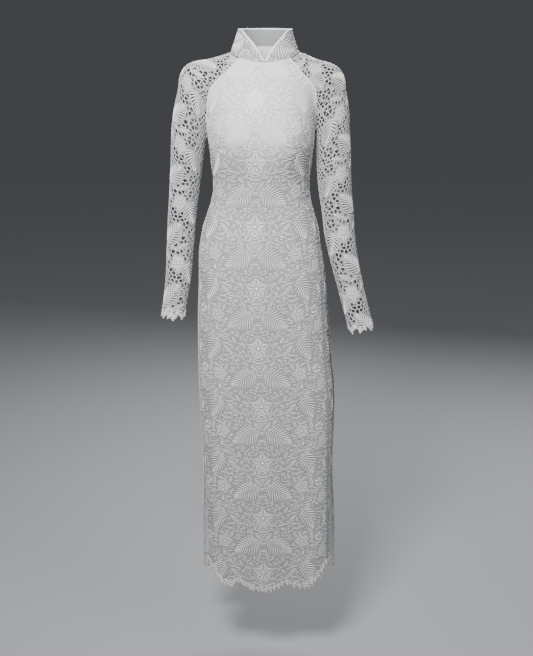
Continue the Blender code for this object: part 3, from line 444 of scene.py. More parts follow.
def sleeve_ring(centre, crown, side, front, back, field, limb):
    """One ring of a sleeve: from its front end over the crown to its back end, round a centre.

    Where a ray would run on into the body, the ring keeps close to the limb.
    """
    rearward = np.array((0.0, 1.0, 0.0))
    along = side * np.cross(rearward, crown)
    turns, leans = [], []
    for end, sign in ((front, -1.0), (back, 1.0)):
        local = np.array([(end - centre) @ axis for axis in (crown, rearward, along)])
        turn = math.atan2(local[1], local[0])
        turns.append(turn if turn * sign > -math.pi / 2 else turn + sign * 2 * math.pi)
        leans.append(math.atan2(local[2], math.hypot(local[0], local[1])))
    half = SLEEVE_COLUMNS // 2 + 1
    turn = np.concatenate((np.linspace(turns[0], 0, half)[:-1], np.linspace(0, turns[1], half)))
    share = (1 - np.cos(turn)) / np.where(turn < 0, 1 - math.cos(turns[0]), 1 - math.cos(turns[1]))
    lean = np.where(turn < 0, leans[0], leans[1]) * share
    flat = np.cos(turn)[:, None] * crown + np.sin(turn)[:, None] * rearward
    ray = np.cos(lean)[:, None] * flat + np.sin(lean)[:, None] * along
    near = how_far(centre, ray, limb)
    room = [np.linalg.norm(end - centre) - near[k] for end, k in ((front, 0), (back, -1))]
    most = near + LIMB_SLACK * (1 - share) + np.where(turn < 0, room[0], room[1]) * share
    points = centre + ray * np.minimum(how_far(centre, ray, field), most)[:, None]
    points[0], points[-1] = front, back
    return points


def sleeve_cloth(side, arm, end):
    """A sleeve from the collar to the cuff. side is -1 for the right one, and the levels are lengths."""

    def limb(p):
        return soft_min(arm_field(p, arm), root_field(p, arm), ARM_BLEND)

    ring_gap = (1.0 - NECK_SHARE) / (SHOULDER_RINGS_MADE - 1)

    def shoulder_place(share):
        # The median of three passes over a seam point that is cast through the armhole into the sleeve
        x, height, tilt = [float(column(SHOULDER_RINGS, name, share, "share")) for name in SHOULDER_COLUMNS]
        centre = np.array((side * x * abs(arm[0].x) / SHOULDER_RINGS_MADE_FOR, arm[0].y, height))
        seam = []
        for which in ("front", "back"):
            near = [seam_points(share + off, which, side) for off in (-ring_gap, 0.0, ring_gap)]
            seam.append(np.median(near, axis=0))
        return centre, tilt, seam

    rings = []
    for share in np.linspace(NECK_SHARE, 1.0, SHOULDER_RINGS_MADE):
        centre, tilt, seam = shoulder_place(share)
        crown = np.array((side * math.cos(math.radians(tilt)), 0.0, math.sin(math.radians(tilt))))
        rings.append(sleeve_ring(centre, crown, side, *seam, figure_field, limb))
    lead = rings[0]
    neck = ring_points(side * np.linspace(RAGLAN[0].front_angle, RAGLAN[0].back_angle, SLEEVE_COLUMNS))
    for way in np.linspace(1.0, 0.0, NECK_RINGS)[1:]:
        start, _, seam = shoulder_place(way * NECK_SHARE)
        ray = neck * (1 - way) + lead * way - start
        between = cast(start, ray / np.linalg.norm(ray, axis=1)[:, None], figure_field)
        between[0], between[-1] = seam
        rings.insert(0, between)
    top, first_tilt = shoulder_place(1.0)[0][2], math.radians(SHOULDER_RINGS[-1].tilt)
    first_drop = UNDERARM - top
    for height in np.linspace(top - RING_STEP, end - BELOW_CUFF, ARM_RINGS_MADE):
        settled = min(1.0, (top - height) / ARM_SETTLES_IN)
        places = []
        for level in (height, height - RING_STEP, height + first_drop * (1 - settled)):
            places.append(np.array((column(arm, "x", level), column(arm, "y", level), level), float))
        centre, below, under = places
        slope = (below - centre) / np.linalg.norm(below - centre)
        tilt = first_tilt * (1 - settled) + settled * math.asin(side * slope[0])
        crown = np.array((side * math.cos(tilt), 0.0, math.sin(tilt)))
        inner = cast(under, np.array((-side, 0.0, 0.0)), limb)
        rings.append(sleeve_ring(centre, crown, side, inner, inner, limb, limb))
    rings = np.array(rings)
    middle = rings[:, SLEEVE_COLUMNS // 2]
    levels = np.concatenate(([0.0], np.cumsum(np.linalg.norm(np.diff(middle, axis=0), axis=1))))
    return Cloth(levels, rings)


def ring_points(degrees):
    """Points of the collar seam at angles from the centre front, to the left round to the back."""
    degrees = np.asarray(degrees, float)
    height = column(COLLAR_SEAM, "height", np.abs(degrees), "angle")
    front = body_points(height, np.clip(degrees, -90, 90), -1)
    behind = body_points(height, np.sign(degrees) * (180 - np.clip(np.abs(degrees), 90, 180)), 1)
    return np.where((np.abs(degrees) <= 90)[..., None], front, behind)


def collar_cloth():
    """The collar band, standing on the collar seam. Its middle column is the centre back."""
    angles = np.linspace(COLLAR_OPENS_AT, 360 - COLLAR_OPENS_AT, 97)
    signed = np.where(angles > 180, angles - 360, angles)
    base = ring_points(signed)
    turn = np.radians(angles)
    lift = COLLAR_TOP + COLLAR_TOP_BACK_RISE * (1 - np.cos(turn)) / 2
    top = np.stack((COLLAR_TOP_RADII[0] * np.sin(turn), -COLLAR_TOP_RADII[1] * np.cos(turn), lift), 1)
    top[:, 1] -= COLLAR_TOP_FORWARD
    shares = np.linspace(0.0, 1.0, 9)
    rows = []
    for share in shares:
        row = base * (1 - share) + top * share
        inward = np.stack((np.sin(turn), -np.cos(turn), 0 * turn), 1)
        rows.append(row - inward * COLLAR_WAIST * 4 * share * (1 - share))
    return Cloth(shares * COLLAR_TALL, rows, turn * COLLAR_TOP_RADII[0]), angles


def collar_share(share, angles):
    """The share of its full height that the collar's edge reaches, with a dip beside the opening."""
    dip = COLLAR_DIP * np.exp(-np.minimum(angles, 360 - angles) / COLLAR_DIP_WIDE)
    return np.clip(share - dip, COLLAR_LEAST, 1.0)


def inside(points, loop):
    """Whether each point lies inside a closed loop."""
    x, y = points[:, 0], points[:, 1]
    found = np.zeros(len(points), bool)
    for (x0, y0), (x1, y1) in zip(loop, np.roll(loop, -1, axis=0)):
        if y0 == y1:
            continue
        crosses = ((y0 > y) != (y1 > y)) & (x < x0 + (y - y0) * (x1 - x0) / (y1 - y0))
        found ^= crosses
    return found


def clearance(points, loop):
    """How far each point is from a closed loop."""
    a, b = loop, np.roll(loop, -1, axis=0)
    line = b - a
    f = ((points[:, None] - a) * line).sum(2) / np.maximum((line * line).sum(1), 1e-15)
    near = a + np.clip(f, 0, 1)[..., None] * line
    return np.linalg.norm(points[:, None] - near, axis=2).min(1)


def placed(shape, x, y, turn):
    """A shape turned by degrees and moved."""
    c, s = math.cos(math.radians(turn)), math.sin(math.radians(turn))
    return np.asarray(shape) @ np.array(((c, s), (-s, c))) + (x, y)


def thinned(line, closer_than):
    """A line of points without those that crowd the one before."""
    kept = [line[0]]
    for point in line[1:]:
        if math.dist(point, kept[-1]) > closer_than:
            kept.append(point)
    return kept


def hem_curve(x, reach, hem):
    """The height of a hem's plain curve, which rises to its corners."""
    return hem.lowest + hem.corner_rise * (np.abs(x) / reach) ** 3.2


def hem_line(ends, hem, lining):
    """The points of a hem from its left corner to its right one: scalloped lace, or a plain lining."""
    reach = max(np.abs(ends))
    if lining:
        xs = np.linspace(*ends, 16)[1:-1]
        return [(x, float(hem_curve(x, reach, hem)) + LINING_ABOVE_HEM) for x in xs]
    line = []
    for x in np.linspace(*ends, 46)[1:-1]:
        away = [min(abs(x - lobe.middle) / lobe.half, 1) * math.pi / 2 for lobe in hem.lobes]
        drop = max(lobe.drop * math.cos(turn) ** 0.8 for lobe, turn in zip(hem.lobes, away))
        tooth = TEETH * abs((x / TOOTH_PITCH) % 1.0 - 0.5) * 2
        line.append((x, float(hem_curve(x, reach, hem)) + LOBE_RISE - drop + tooth))
    return line


def body_outline(cloth, side, hem, lining=False):
    """The flat outline of the front or back: neckline, raglan seams, side seams, slit edges and hem.

    The lining's keeps inside the lace at the slits and ends above its scallops.
    """
    which = "front" if side < 0 else "back"
    gap = SEAM_GAP / 2
    shares = np.array([row.share for row in RAGLAN[:-1]])
    shares = np.sort(np.concatenate((shares, (shares[1:] + shares[:-1]) / 2)))
    seam_z = column(RAGLAN, which, shares, "share")
    seam_angle = column(RAGLAN, which + "_angle", shares, "share")
    neck = np.linspace(0 if side < 0 else 180, seam_angle[0], 7)[:-1]
    angles = np.concatenate((neck, seam_angle))
    heights = np.concatenate((column(COLLAR_SEAM, "height", neck, "angle") - gap, seam_z))
    angles = angles if side < 0 else 180 - angles
    halves = []
    for sign, end in ((1, -1), (-1, 0)):
        half = []
        for angle, z in zip(angles, heights):
            sweep = body_points(z, sign * np.linspace(0, angle, 40), side)
            across = np.linalg.norm(np.diff(sweep, axis=0), axis=1).sum()
            half.append((sign * max(across - gap, 0.0), z))
        heights_down = np.arange(UNDERARM, SLIT_TOP, -SIDE_SEAM_STEP)
        half += [(float(cloth.reach(z, end)) - sign * gap, z) for z in heights_down]
        corner = hem.lowest + hem.corner_rise + (LINING_ABOVE_HEM if lining else LOBE_RISE)
        for z in np.arange(SLIT_TOP, corner, -EDGE_PITCH / (1 if lining else 2)):
            opened = min(1.0, (SLIT_TOP - z) / 0.04)
            inset = EDGE_SCALLOP * abs(math.sin(math.pi * (z - SLIT_TOP) / EDGE_PITCH))
            if lining:
                inset = LINING_EDGE_INSET
            half.append((float(cloth.reach(z, end)) - sign * (gap + opened * (SEAM_GAP + inset)), z))
        halves.append(thinned(half, LEAST_STEP))
    right, left = halves
    return np.array(right + hem_line((right[-1][0], left[-1][0]), hem, lining) + left[:0:-1])


# The camera, as seen in the photograph's frame of 533 by 656 pixels
FOCAL_PIXELS = 1000.0
PHOTO_TALL = 656.0
CAMERA_PITCH = 14.0
CAMERA_AWAY = 2.36
CAMERA_HIGH = -0.044
CAMERA_SIDE = 0.0035

# The lace design. One half of a repeat is drawn and mirrored on its left edge, which lies on the axis.
# Leaf: its middle, its length, width and turn in degrees, and the ribs on each side of its vein.
DESIGN_HALF = 0.168
DESIGN_WAVE = 0.004
DESIGN_WAVE_LONG = 0.042
CELL = 0.001
Leaf = namedtuple("Leaf", "x y long wide turn ribs")
Flower = namedtuple("Flower", "x y radius turn")
Star = namedtuple("Star", "x y radius arms turn")
# Small petals and open windows fill what is left, in the order given. kind is petal or window.
Filler = namedtuple("Filler", "kind long wide tries margin")
Design = namedtuple("Design", "large small axis_flower flowers stars net fillers slots ridge_pitch")
# Where a slot's side lies between two ribs of a leaf, as a share of the nearer one
SLOT_FROM_RIB = 0.68
STAR_ARM = 0.0020
NET_BAR = 0.0017
BODY_DESIGN = Design(
    large=(
        Leaf(0.042, 0.028, 0.070, 0.054, -27.0, 12),
        Leaf(0.113, -0.042, 0.060, 0.046, -68.0, 10),
    ),
    small=(
        Leaf(0.010, 0.006, 0.025, 0.012, 108.0, 4),
        Leaf(0.036, -0.013, 0.027, 0.013, -155.0, 4),
        Leaf(0.081, -0.012, 0.029, 0.014, 24.0, 5),
        Leaf(0.152, -0.046, 0.029, 0.014, 96.0, 5),
        Leaf(0.059, 0.067, 0.026, 0.012, 12.0, 4),
        Leaf(0.122, 0.004, 0.026, 0.012, 150.0, 4),
    ),
    axis_flower=Flower(0.0, -0.037, 0.027, 90.0),
    flowers=(Flower(0.096, 0.042, 0.0200, 36.0), Flower(0.150, 0.014, 0.0160, 70.0)),
    stars=(Star(0.139, 0.054, 0.0110, 5, 54.0),),
    net=0.0,
    fillers=(
        Filler("petal", 0.024, 0.0085, 50, 0.0008),
        Filler("window", 0.0105, 0.0055, 60, 0.0009),
        Filler("petal", 0.016, 0.0060, 60, 0.0007),
        Filler("window", 0.0064, 0.0036, 260, 0.0009),
    ),
    slots=False,
    ridge_pitch=0.0041,
)
SLEEVE_DESIGN = Design(
    large=(
        Leaf(0.032, 0.036, 0.060, 0.043, -52.0, 10),
        Leaf(0.079, -0.010, 0.054, 0.040, 76.0, 9),
    ),
    small=(
        Leaf(0.014, -0.056, 0.028, 0.011, 62.0, 5),
        Leaf(0.058, 0.066, 0.027, 0.010, -20.0, 5),
    ),
    axis_flower=Flower(0.0, -0.020, 0.0190, 90.0),
    flowers=(Flower(0.046, -0.036, 0.0200, 18.0),),
    stars=(Star(0.080, 0.040, 0.0125, 6, 12.0), Star(0.078, -0.060, 0.0120, 5, 40.0)),
    net=0.0098,
    fillers=(
        Filler("petal", 0.024, 0.0060, 14, 0.0006),
        Filler("window", 0.0105, 0.0070, 500, 0.0007),
        Filler("window", 0.0075, 0.0052, 700, 0.0007),
        Filler("window", 0.0054, 0.0040, 900, 0.0007),
    ),
    slots=True,
    ridge_pitch=0.0050,
)
# Heights above the lace's ground
# The leaf patch lies so low that below the chest it is painted wholly in the shade colour
LEAF_DOME = 0.0002
RIB_HIGH = 0.0019
RIB_HALF = 0.0012
PETAL_HIGH = 0.0016
CORD_HIGH = 0.0011
RIDGE_HIGH = 0.0018
RIDGE_STEP = 0.0036
HIGHEST = 0.0021
# Colour tone of the lace ground's top face: so low that it is painted in the shade colour
GROUND_SHADE_TONE = 0.13
UNDERSIDE_TONE = 0.8
# The relief is calmer over the chest than below the waist, and the painted shade of its low parts lighter
CALM_FROM = -0.30
CALM_TO = -0.08
CALM = 0.45
# Fine dark lines down the front darts, painted shade of their shallow valleys: where they run in x, and the
# heights they span
FRONT_DARTS = (-0.080, 0.066)
DART_LEVELS = (-0.345, -0.235)
GROUND_STEP = 0.0085
# Places of neighbouring repeats are one place where they agree to this part of a metre
WELD = 2e4
LINING_STEP = 0.009

ROUND = np.array(((-1.0, 0.0), (-0.45, 1.0), (0.45, 1.0), (1.0, 0.0)))
RIDGE = np.array(((-1.0, 0.0), (0.0, 1.0), (1.0, 0.0)))


class Stitching:
    """Raised stitching, drawn flat: points (across, level, height), four-sided faces and thread places."""

    def __init__(self):
        self.points, self.faces, self.threads, self.count = [], [], [], 0

    def grid(self, points, threads):
        """Adds a patch from rows of points."""
        rows, columns = points.shape[:2]
        index = np.arange(rows * columns).reshape(rows, columns) + self.count
        corners = (index[:-1, :-1], index[:-1, 1:], index[1:, 1:], index[1:, :-1])
        self.faces.append(np.stack(corners, axis=-1).reshape(-1, 4))
        self.points.append(points.reshape(-1, 3))
        self.threads.append(threads.reshape(-1, 2))
        self.count += rows * columns

    def strip(self, line, half, high, foot=0.0, profile=ROUND, closed=False):
        """Adds a band along a line of places: half its width, its height and what it stands on."""
        line = np.asarray(line, float)
        if closed:
            line = np.concatenate((line, line[:1]))
            steps = np.roll(line[:-1], -1, axis=0) - np.roll(line[:-1], 1, axis=0)
            steps = np.concatenate((steps, steps[:1]))
        else:
            steps = np.gradient(line, axis=0)
        steps /= np.maximum(np.linalg.norm(steps, axis=1), 1e-9)[:, None]
        beside = np.stack((-steps[:, 1], steps[:, 0]), axis=1)
        half, high, foot = (np.broadcast_to(value, len(line)) for value in (half, high, foot))
        flat = line[:, None] + beside[:, None] * (half[:, None] * profile[:, 0])[..., None]
        lifts = foot[:, None] + high[:, None] * profile[:, 1]
        along = np.concatenate(([0.0], np.cumsum(np.linalg.norm(np.diff(line, axis=0), axis=1))))
        threads = np.stack(np.broadcast_arrays(along[:, None], half[:, None] * profile[:, 0]), axis=-1)
        self.grid(np.concatenate((flat, lifts[..., None]), axis=2), threads)

    def arrays(self):
        return np.concatenate(self.points), np.concatenate(self.faces), np.concatenate(self.threads)


def turned(points, x, y, degrees):
    """Points (along, across, height) turned and moved in the flat."""
    points = np.asarray(points, float)
    flat = placed(points[..., :2].reshape(-1, 2), x, y, degrees).reshape(*points.shape[:-1], 2)
    return np.concatenate((flat, points[..., 2:]), axis=-1)


def leaf_half(share):
    """Half the width of a leaf along its vein, as a share of its greatest half width."""
    return np.sin(np.pi * np.clip(share, 0.0, 1.0) ** 0.76) ** 0.80


def leaf_outline(leaf, count=9):
    shares = np.linspace(0.02, 0.98, count)
    half = leaf_half(shares) * leaf.wide / 2
    along = (shares - 0.5) * leaf.long
    loop = np.concatenate((np.stack((along, half), 1), np.stack((along[::-1], -half[::-1]), 1)))
    return placed(loop, leaf.x, leaf.y, leaf.turn)


def rib_line(leaf, number, side, q):
    """Where a rib of a leaf runs, from its vein (q 0) to its edge (q 1). Ribs near the tip lean forward."""
    start = 0.02 + 0.84 * (number / (leaf.ribs - 1)) ** 1.08
    end = 1 - 0.97 * (1 - start) ** 1.95
    share = start + (end - start) * q**1.3
    reach = side * q**0.9 * leaf_half(end) * leaf.wide / 2 * 0.985
    return placed(np.stack(((share - 0.5) * leaf.long, reach), 1), leaf.x, leaf.y, leaf.turn)


def leaf_slots(leaf):
    """Narrow windows between the ribs of a leaf."""
    q = np.linspace(0.34, 0.86, 4)
    loops = []
    for number in range(1, leaf.ribs - 2):
        for side in (-1, 1):
            before, after = rib_line(leaf, number, side, q), rib_line(leaf, number + 1, side, q)
            near = before * SLOT_FROM_RIB + after * (1 - SLOT_FROM_RIB)
            far = before * (1 - SLOT_FROM_RIB) + after * SLOT_FROM_RIB
            loops.append(np.concatenate((near, far[::-1])))
    return loops


def draw_leaf(out, leaf, patch=True):
    """A leaf: a vein and curved satin ribs on both sides, over a low patch painted in the shade colour between
    the ribs.
    """
    large = leaf.ribs > 8
    rows, columns = (7, 5) if large else (5, 3)
    # Painted shade: the low patch takes the dark colour, standing for the shadow between the ribs
    if patch:
        shares = np.linspace(0.015, 0.985, rows)
        across = np.linspace(-1.0, 1.0, columns)
        half = leaf_half(shares)[:, None] * leaf.wide / 2
        along = np.broadcast_to(((shares - 0.5) * leaf.long)[:, None], (rows, columns))
        low = LEAF_DOME * np.ones((rows, columns))
        spots = turned(np.stack((along, half * across, low), axis=-1), leaf.x, leaf.y, leaf.turn)
        out.grid(spots, np.stack((half * across, along), axis=-1))
    q = np.linspace(0.03, 1.0, 6 if large else 4)
    swell = np.sin(np.pi * (0.14 + 0.74 * q)) ** 0.6
    for number in range(leaf.ribs):
        for side in (-1, 1):
            half = (RIB_HALF if large else RIB_HALF * 0.72) * swell
            out.strip(rib_line(leaf, number, side, q), half, RIB_HIGH * swell, 0.0)
    vein = np.linspace(-0.5, 0.47, 7) * leaf.long
    line = placed(np.stack((vein, 0 * vein), 1), leaf.x, leaf.y, leaf.turn)
    out.strip(line, np.linspace(0.0011, 0.0005, 7), 0.0011, 0.0, RIDGE)
    if not large:
        out.strip(leaf_outline(leaf, 6), 0.0006, 0.0008, 0.0, RIDGE, closed=True)


def petal_outline(root, long, wide, degrees):
    shares = np.linspace(0.03, 0.97, 6)
    half = np.sin(np.pi * shares**0.8) ** 0.7 * wide / 2
    along = shares * long
    loop = np.concatenate((np.stack((along, half), 1), np.stack((along[::-1], -half[::-1]), 1)))
    return placed(loop, root[0], root[1], degrees)


def draw_petal(out, root, long, wide, degrees, slit, rows=7, columns=7):
    """A petal with a thick rim and a groove, or an open slit, down its middle."""
    shares = np.linspace(0.03, 0.985, rows)[:, None]
    across = np.linspace(-1.0, 1.0, columns)[None, :]
    half = np.sin(np.pi * shares**0.8) ** 0.7 * wide / 2
    crown = (1 - np.abs(across) ** 6) * (0.55 + 0.45 * across**2)
    groove = slit * np.exp(-((across / 0.30) ** 2)) * np.sin(np.pi * shares) ** 0.8
    high = PETAL_HIGH * crown * (0.45 + 0.55 * np.sin(np.pi * shares) ** 0.5) * (1 - groove)
    points = np.stack(np.broadcast_arrays(shares * long, half * across, high), axis=-1)
    threads = np.stack(np.broadcast_arrays(half * across, shares * long), axis=-1)
    out.grid(turned(points, root[0], root[1], degrees), threads)


def draw_flower(out, flower):
    """Five petals, each with a slit, and five small ones between them, round a domed eye."""
    for k in range(5):
        turn = flower.turn + 72.0 * k
        root = placed([(flower.radius * 0.20, 0.0)], flower.x, flower.y, turn)[0]
        draw_petal(out, root, flower.radius * 0.80, flower.radius * 0.60, turn, 0.95, 8, 7)
        root = placed([(flower.radius * 0.16, 0.0)], flower.x, flower.y, turn + 36.0)[0]
        draw_petal(out, root, flower.radius * 0.66, flower.radius * 0.34, turn + 36.0, 0.9, 6, 5)
    angles = np.radians(np.linspace(0, 360, 13))
    shares = np.array((0.02, 0.5, 0.85, 1.0))[:, None]
    radius = flower.radius * 0.17 * shares
    points = np.stack(np.broadcast_arrays(
        flower.x + radius * np.cos(angles), flower.y + radius * np.sin(angles), 0.0016 * (1 - shares**3)
    ), axis=-1)
    out.grid(points, points[..., :2])


def blob(x, y, long, wide, degrees, dice):
    """An uneven rounded loop."""
    count = 9 if long > 0.009 else 7
    turn = np.arange(count) * 2 * math.pi / count
    reach = 1 + dice.uniform(-0.20, 0.20, count)
    loop = np.stack((np.cos(turn) * long / 2 * reach, np.sin(turn) * wide / 2 * reach), axis=1)
    return placed(loop, x, y, degrees)


def star_windows(star):
    """The windows between the arms of a star net."""
    loops = []
    for k in range(star.arms):
        half = math.pi / star.arms
        tip = STAR_ARM * 0.5 / math.sin(half) + 0.0010
        spread = half - STAR_ARM * 0.5 / star.radius
        shape = [(tip, 0.0)]
        for a in (-spread, -spread * 0.45, spread * 0.45, spread):
            shape.append((star.radius * math.cos(a), star.radius * math.sin(a)))
        loops.append(placed(shape, star.x, star.y, star.turn + math.degrees(half) * (2 * k + 1)))
    return loops


def wave(x):
    """The height of the line where one repeat of the ground meets the next."""
    return DESIGN_WAVE * np.cos(2 * np.pi * x / DESIGN_WAVE_LONG)


class Room:
    """Keeps which cells of the half design are taken. The design goes on above and below itself."""

    def __init__(self):
        xs = (np.arange(round(DESIGN_HALF / CELL)) + 0.5) * CELL
        ys = (np.arange(round(REPEAT_TALL / CELL)) + 0.5) * CELL - REPEAT_TALL / 2
        self.places = np.stack(np.meshgrid(xs, ys), axis=-1).reshape(-1, 2)
        self.taken = np.zeros(len(self.places), bool)

    def cells(self, loop, margin):
        """The cells inside a loop or nearer to it than the margin."""
        found = np.zeros(len(self.places), bool)
        for lift in (-REPEAT_TALL, 0.0, REPEAT_TALL):
            moved = loop + (0.0, lift)
            low, high = moved.min(0) - margin, moved.max(0) + margin
            near = np.flatnonzero(((self.places > low) & (self.places < high)).all(axis=1))
            if len(near):
                spots = self.places[near]
                found[near] |= inside(spots, moved) | (clearance(spots, moved) < margin)
        return found

    def take(self, loop, margin):
        self.taken |= self.cells(loop, margin)

    def fits(self, loop, margin):
        if loop[:, 0].min() < margin or loop[:, 0].max() > DESIGN_HALF - margin:
            return False
        cells = self.cells(loop, margin)
        return cells.any() and not (self.taken & cells).any()


def fill(room, filler, dice, shape, accept):
    """Places as many shapes of one size as fit and are accepted, and takes their room."""
    found = []
    for _ in range(filler.tries):
        spot = (dice.uniform(0, DESIGN_HALF), dice.uniform(-REPEAT_TALL / 2, REPEAT_TALL / 2))
        size = dice.uniform(0.85, 1.15)
        degrees = dice.uniform(0, 360)
        made = (spot, filler.long * size, filler.wide * size, degrees)
        loop = shape(*made)
        if accept(loop) and room.fits(loop, filler.margin):
            room.take(loop, filler.margin)
            found.append((made, loop))
    return found


def net_windows(pitch, dice):
    """The windows of an uneven net: the cells round scattered points, with bars between them."""
    spots = []
    for row, y in enumerate(np.arange(-REPEAT_TALL / 2, REPEAT_TALL / 2 + pitch, pitch * 0.87)):
        xs = np.arange(pitch / 2 * (row % 2), DESIGN_HALF, pitch)
        spots += [(x, y) for x in xs]
    spots = np.array(spots) + dice.uniform(-0.26, 0.26, (len(spots), 2)) * pitch
    loops = []
    for spot in spots:
        loop = spot + np.array(((-1, -1), (1, -1), (1, 1), (-1, 1))) * pitch
        away = spots - spot
        for step in away[(np.abs(away) < 2.2 * pitch).all(axis=1) & (np.abs(away).sum(axis=1) > 0)]:
            long = np.linalg.norm(step)
            if len(loop):
                side = (loop - spot) @ (step / long) - (long / 2 - NET_BAR / 2)
                loop = half_plane(loop, side)
        if len(loop) > 3 and polygon_area(loop) > 8e-6:
            middle = loop.mean(axis=0)
            ahead = np.roll(loop, -1, axis=0)
            corners = (loop * 0.75 + ahead * 0.25, loop * 0.25 + ahead * 0.75)
            rounded = np.stack(corners, axis=1).reshape(-1, 2)
            loops.append(rounded[np.linalg.norm(rounded - middle, axis=1) > 0.0008])
    return loops


def half_plane(loop, side):
    """The part of a convex loop where side is negative."""
    kept = []
    for k in range(len(loop)):
        a, b = loop[k - 1], loop[k]
        s, t = side[k - 1], side[k]
        if (s < 0) != (t < 0):
            kept.append(a + (b - a) * (s / (s - t)))
        if t < 0:
            kept.append(b)
    return np.array(kept)


def draw_ridges(out, room, pitch, dice):
    """Fine wavy ridges, mostly level, over the ground that is left."""
    columns = round(DESIGN_HALF / CELL)
    taken = room.taken.reshape(-1, columns)
    xs = np.arange(0.0, DESIGN_HALF - 0.001, RIDGE_STEP)
    level = pitch / 2 - REPEAT_TALL / 2
    while level < REPEAT_TALL / 2:
        phase = dice.uniform(0.0, 6.3, 2)
        ys = level + 0.0021 * np.sin(xs / 0.0046 + phase[0]) + 0.0009 * np.sin(xs / 0.0019 + phase[1])
        rows = np.clip(((ys + REPEAT_TALL / 2) / CELL).astype(int), 0, len(taken) - 1)
        free = ~taken[rows, np.minimum((xs / CELL).astype(int), columns - 1)]
        edges = np.flatnonzero(np.diff(np.concatenate(([0], free.astype(int), [0]))))
        for first, last in zip(edges[::2], edges[1::2]):
            if last - first > 1:
                line = np.stack((xs[first:last], ys[first:last]), axis=1)
                taper = np.ones(last - first)
                taper[[0, -1]] = (0.25 if first else 1.0), 0.25
                high = RIDGE_HIGH * taper * dice.uniform(0.60, 1.0, last - first)
                out.strip(line, 0.0012 * taper, high, 0.0, RIDGE)
        level += pitch * dice.uniform(0.88, 1.12)


def mirrored(points):
    """Points with their copies across the axis, in reverse order within each shape."""
    return points[::-1] * ((-1.0, 1.0) if points.shape[1] == 2 else (-1.0, 1.0, 1.0))


class LaceDesign:
    """One whole repeat of a lace: the ground with its windows, and three kinds of stitching."""

    def __init__(self, design):
        dice = np.random.default_rng(11)
        room = Room()
        leaves, flowers, cords = Stitching(), Stitching(), Stitching()
        windows = []
        for leaf in design.large + design.small:
            draw_leaf(leaves, leaf, patch=not design.slots)
            room.take(leaf_outline(leaf), 0.0006)
            if design.slots and leaf in design.large:
                windows += leaf_slots(leaf)
        for flower in (design.axis_flower, *design.flowers):
            for k in range(5):
                turn = flower.turn + 72.0 * k
                root = placed([(flower.radius * 0.1, 0.0)], flower.x, flower.y, turn)[0]
                room.take(petal_outline(root, flower.radius * 0.92, flower.radius * 0.68, turn), 0.0)
            if flower is not design.axis_flower:
                draw_flower(flowers, flower)
        for star in design.stars:
            ring = np.radians(np.arange(0, 360, 20))
            rim = np.stack((np.cos(ring), np.sin(ring)), 1) * (star.radius + 0.0016) + (star.x, star.y)
            room.take(rim, 0.0006)
            cords.strip(rim, 0.0009, 0.0009, 0.0, RIDGE, closed=True)
            for k in range(star.arms):
                turn = star.turn + 360.0 * k / star.arms
                line = placed([(star.radius * s, 0.0) for s in (0.0, 0.5, 1.05)], star.x, star.y, turn)
                cords.strip(line, STAR_ARM * 0.45, 0.0010, 0.0, RIDGE)
            windows += star_windows(star)

        def petal_loop(spot, long, wide, degrees):
            return petal_outline(spot, long, wide, degrees)

        def window_loop(spot, long, wide, degrees):
            return blob(*spot, long, wide, degrees, dice)

        def in_repeat(loop):
            top = REPEAT_TALL / 2 + wave(loop[:, 0])
            return (loop[:, 1] < top - 0.0008).all() and (loop[:, 1] > top - REPEAT_TALL + 0.0008).all()

        for loop in net_windows(design.net, dice) if design.net else ():
            if in_repeat(loop) and room.fits(loop, 0.0004):
                room.take(loop, 0.0006)
                windows.append(loop)
                middle = loop.mean(axis=0)
                cords.strip(middle + (loop - middle) * 1.15, 0.0007, CORD_HIGH, 0.0, RIDGE, closed=True)
        for filler in design.fillers:
            if filler.kind == "petal":
                petals = fill(room, filler, dice, petal_loop, lambda loop: True)
                for (spot, long, wide, degrees), _ in petals:
                    rows = 7 if long > 0.017 else 5
                    draw_petal(flowers, spot, long, wide, degrees, 0.8, rows, rows)
                continue
            for (_, long, _, _), loop in fill(room, filler, dice, window_loop, in_repeat):
                windows.append(loop)
                if long > 0.007:
                    middle = loop.mean(axis=0)
                    cords.strip(middle + (loop - middle) * 1.18, 0.0009, CORD_HIGH, 0.0, RIDGE, closed=True)
        draw_ridges(cords, room, design.ridge_pitch, dice)
        self.windows = windows + [mirrored(loop) for loop in windows]
        self.leaves, self.flowers, self.cords = (self.doubled(kind) for kind in (leaves, flowers, cords))
        axis = Stitching()
        draw_flower(axis, design.axis_flower)
        self.flowers = joined([self.flowers, axis.arrays()])
        self.ground = self.make_ground()

    @staticmethod
    def doubled(kind):
        """A half design's stitching with its mirrored half."""
        points, faces, threads = kind.arrays()
        return joined([(points, faces, threads), (points * (-1.0, 1.0, 1.0), faces[:, ::-1], threads)])

    def make_ground(self):
        """Triangles over the repeat round its windows. Its four edges fit the next repeats."""
        xs = np.linspace(-DESIGN_HALF, DESIGN_HALF, 49)
        rise = np.linspace(0.0, REPEAT_TALL, 19)[1:-1]
        top, bottom = (REPEAT_TALL / 2 + wave(xs), wave(xs) - REPEAT_TALL / 2)
        right = np.stack((0 * rise + DESIGN_HALF, bottom[-1] + rise), axis=1)
        left = np.stack((0 * rise - DESIGN_HALF, bottom[0] + rise[::-1]), axis=1)
        edge = np.concatenate((np.stack((xs, bottom), 1), right, np.stack((xs, top), 1)[::-1], left))
        return filled(edge, self.windows, GROUND_STEP, 0.0022)


def joined(kinds):
    """Several arrays of points, faces and threads as one."""
    counts = np.concatenate(([0], np.cumsum([len(points) for points, _, _ in kinds])))
    return (
        np.concatenate([points for points, _, _ in kinds]),
        np.concatenate([faces + start for (_, faces, _), start in zip(kinds, counts)]),
        np.concatenate([threads for _, _, threads in kinds]),
    )


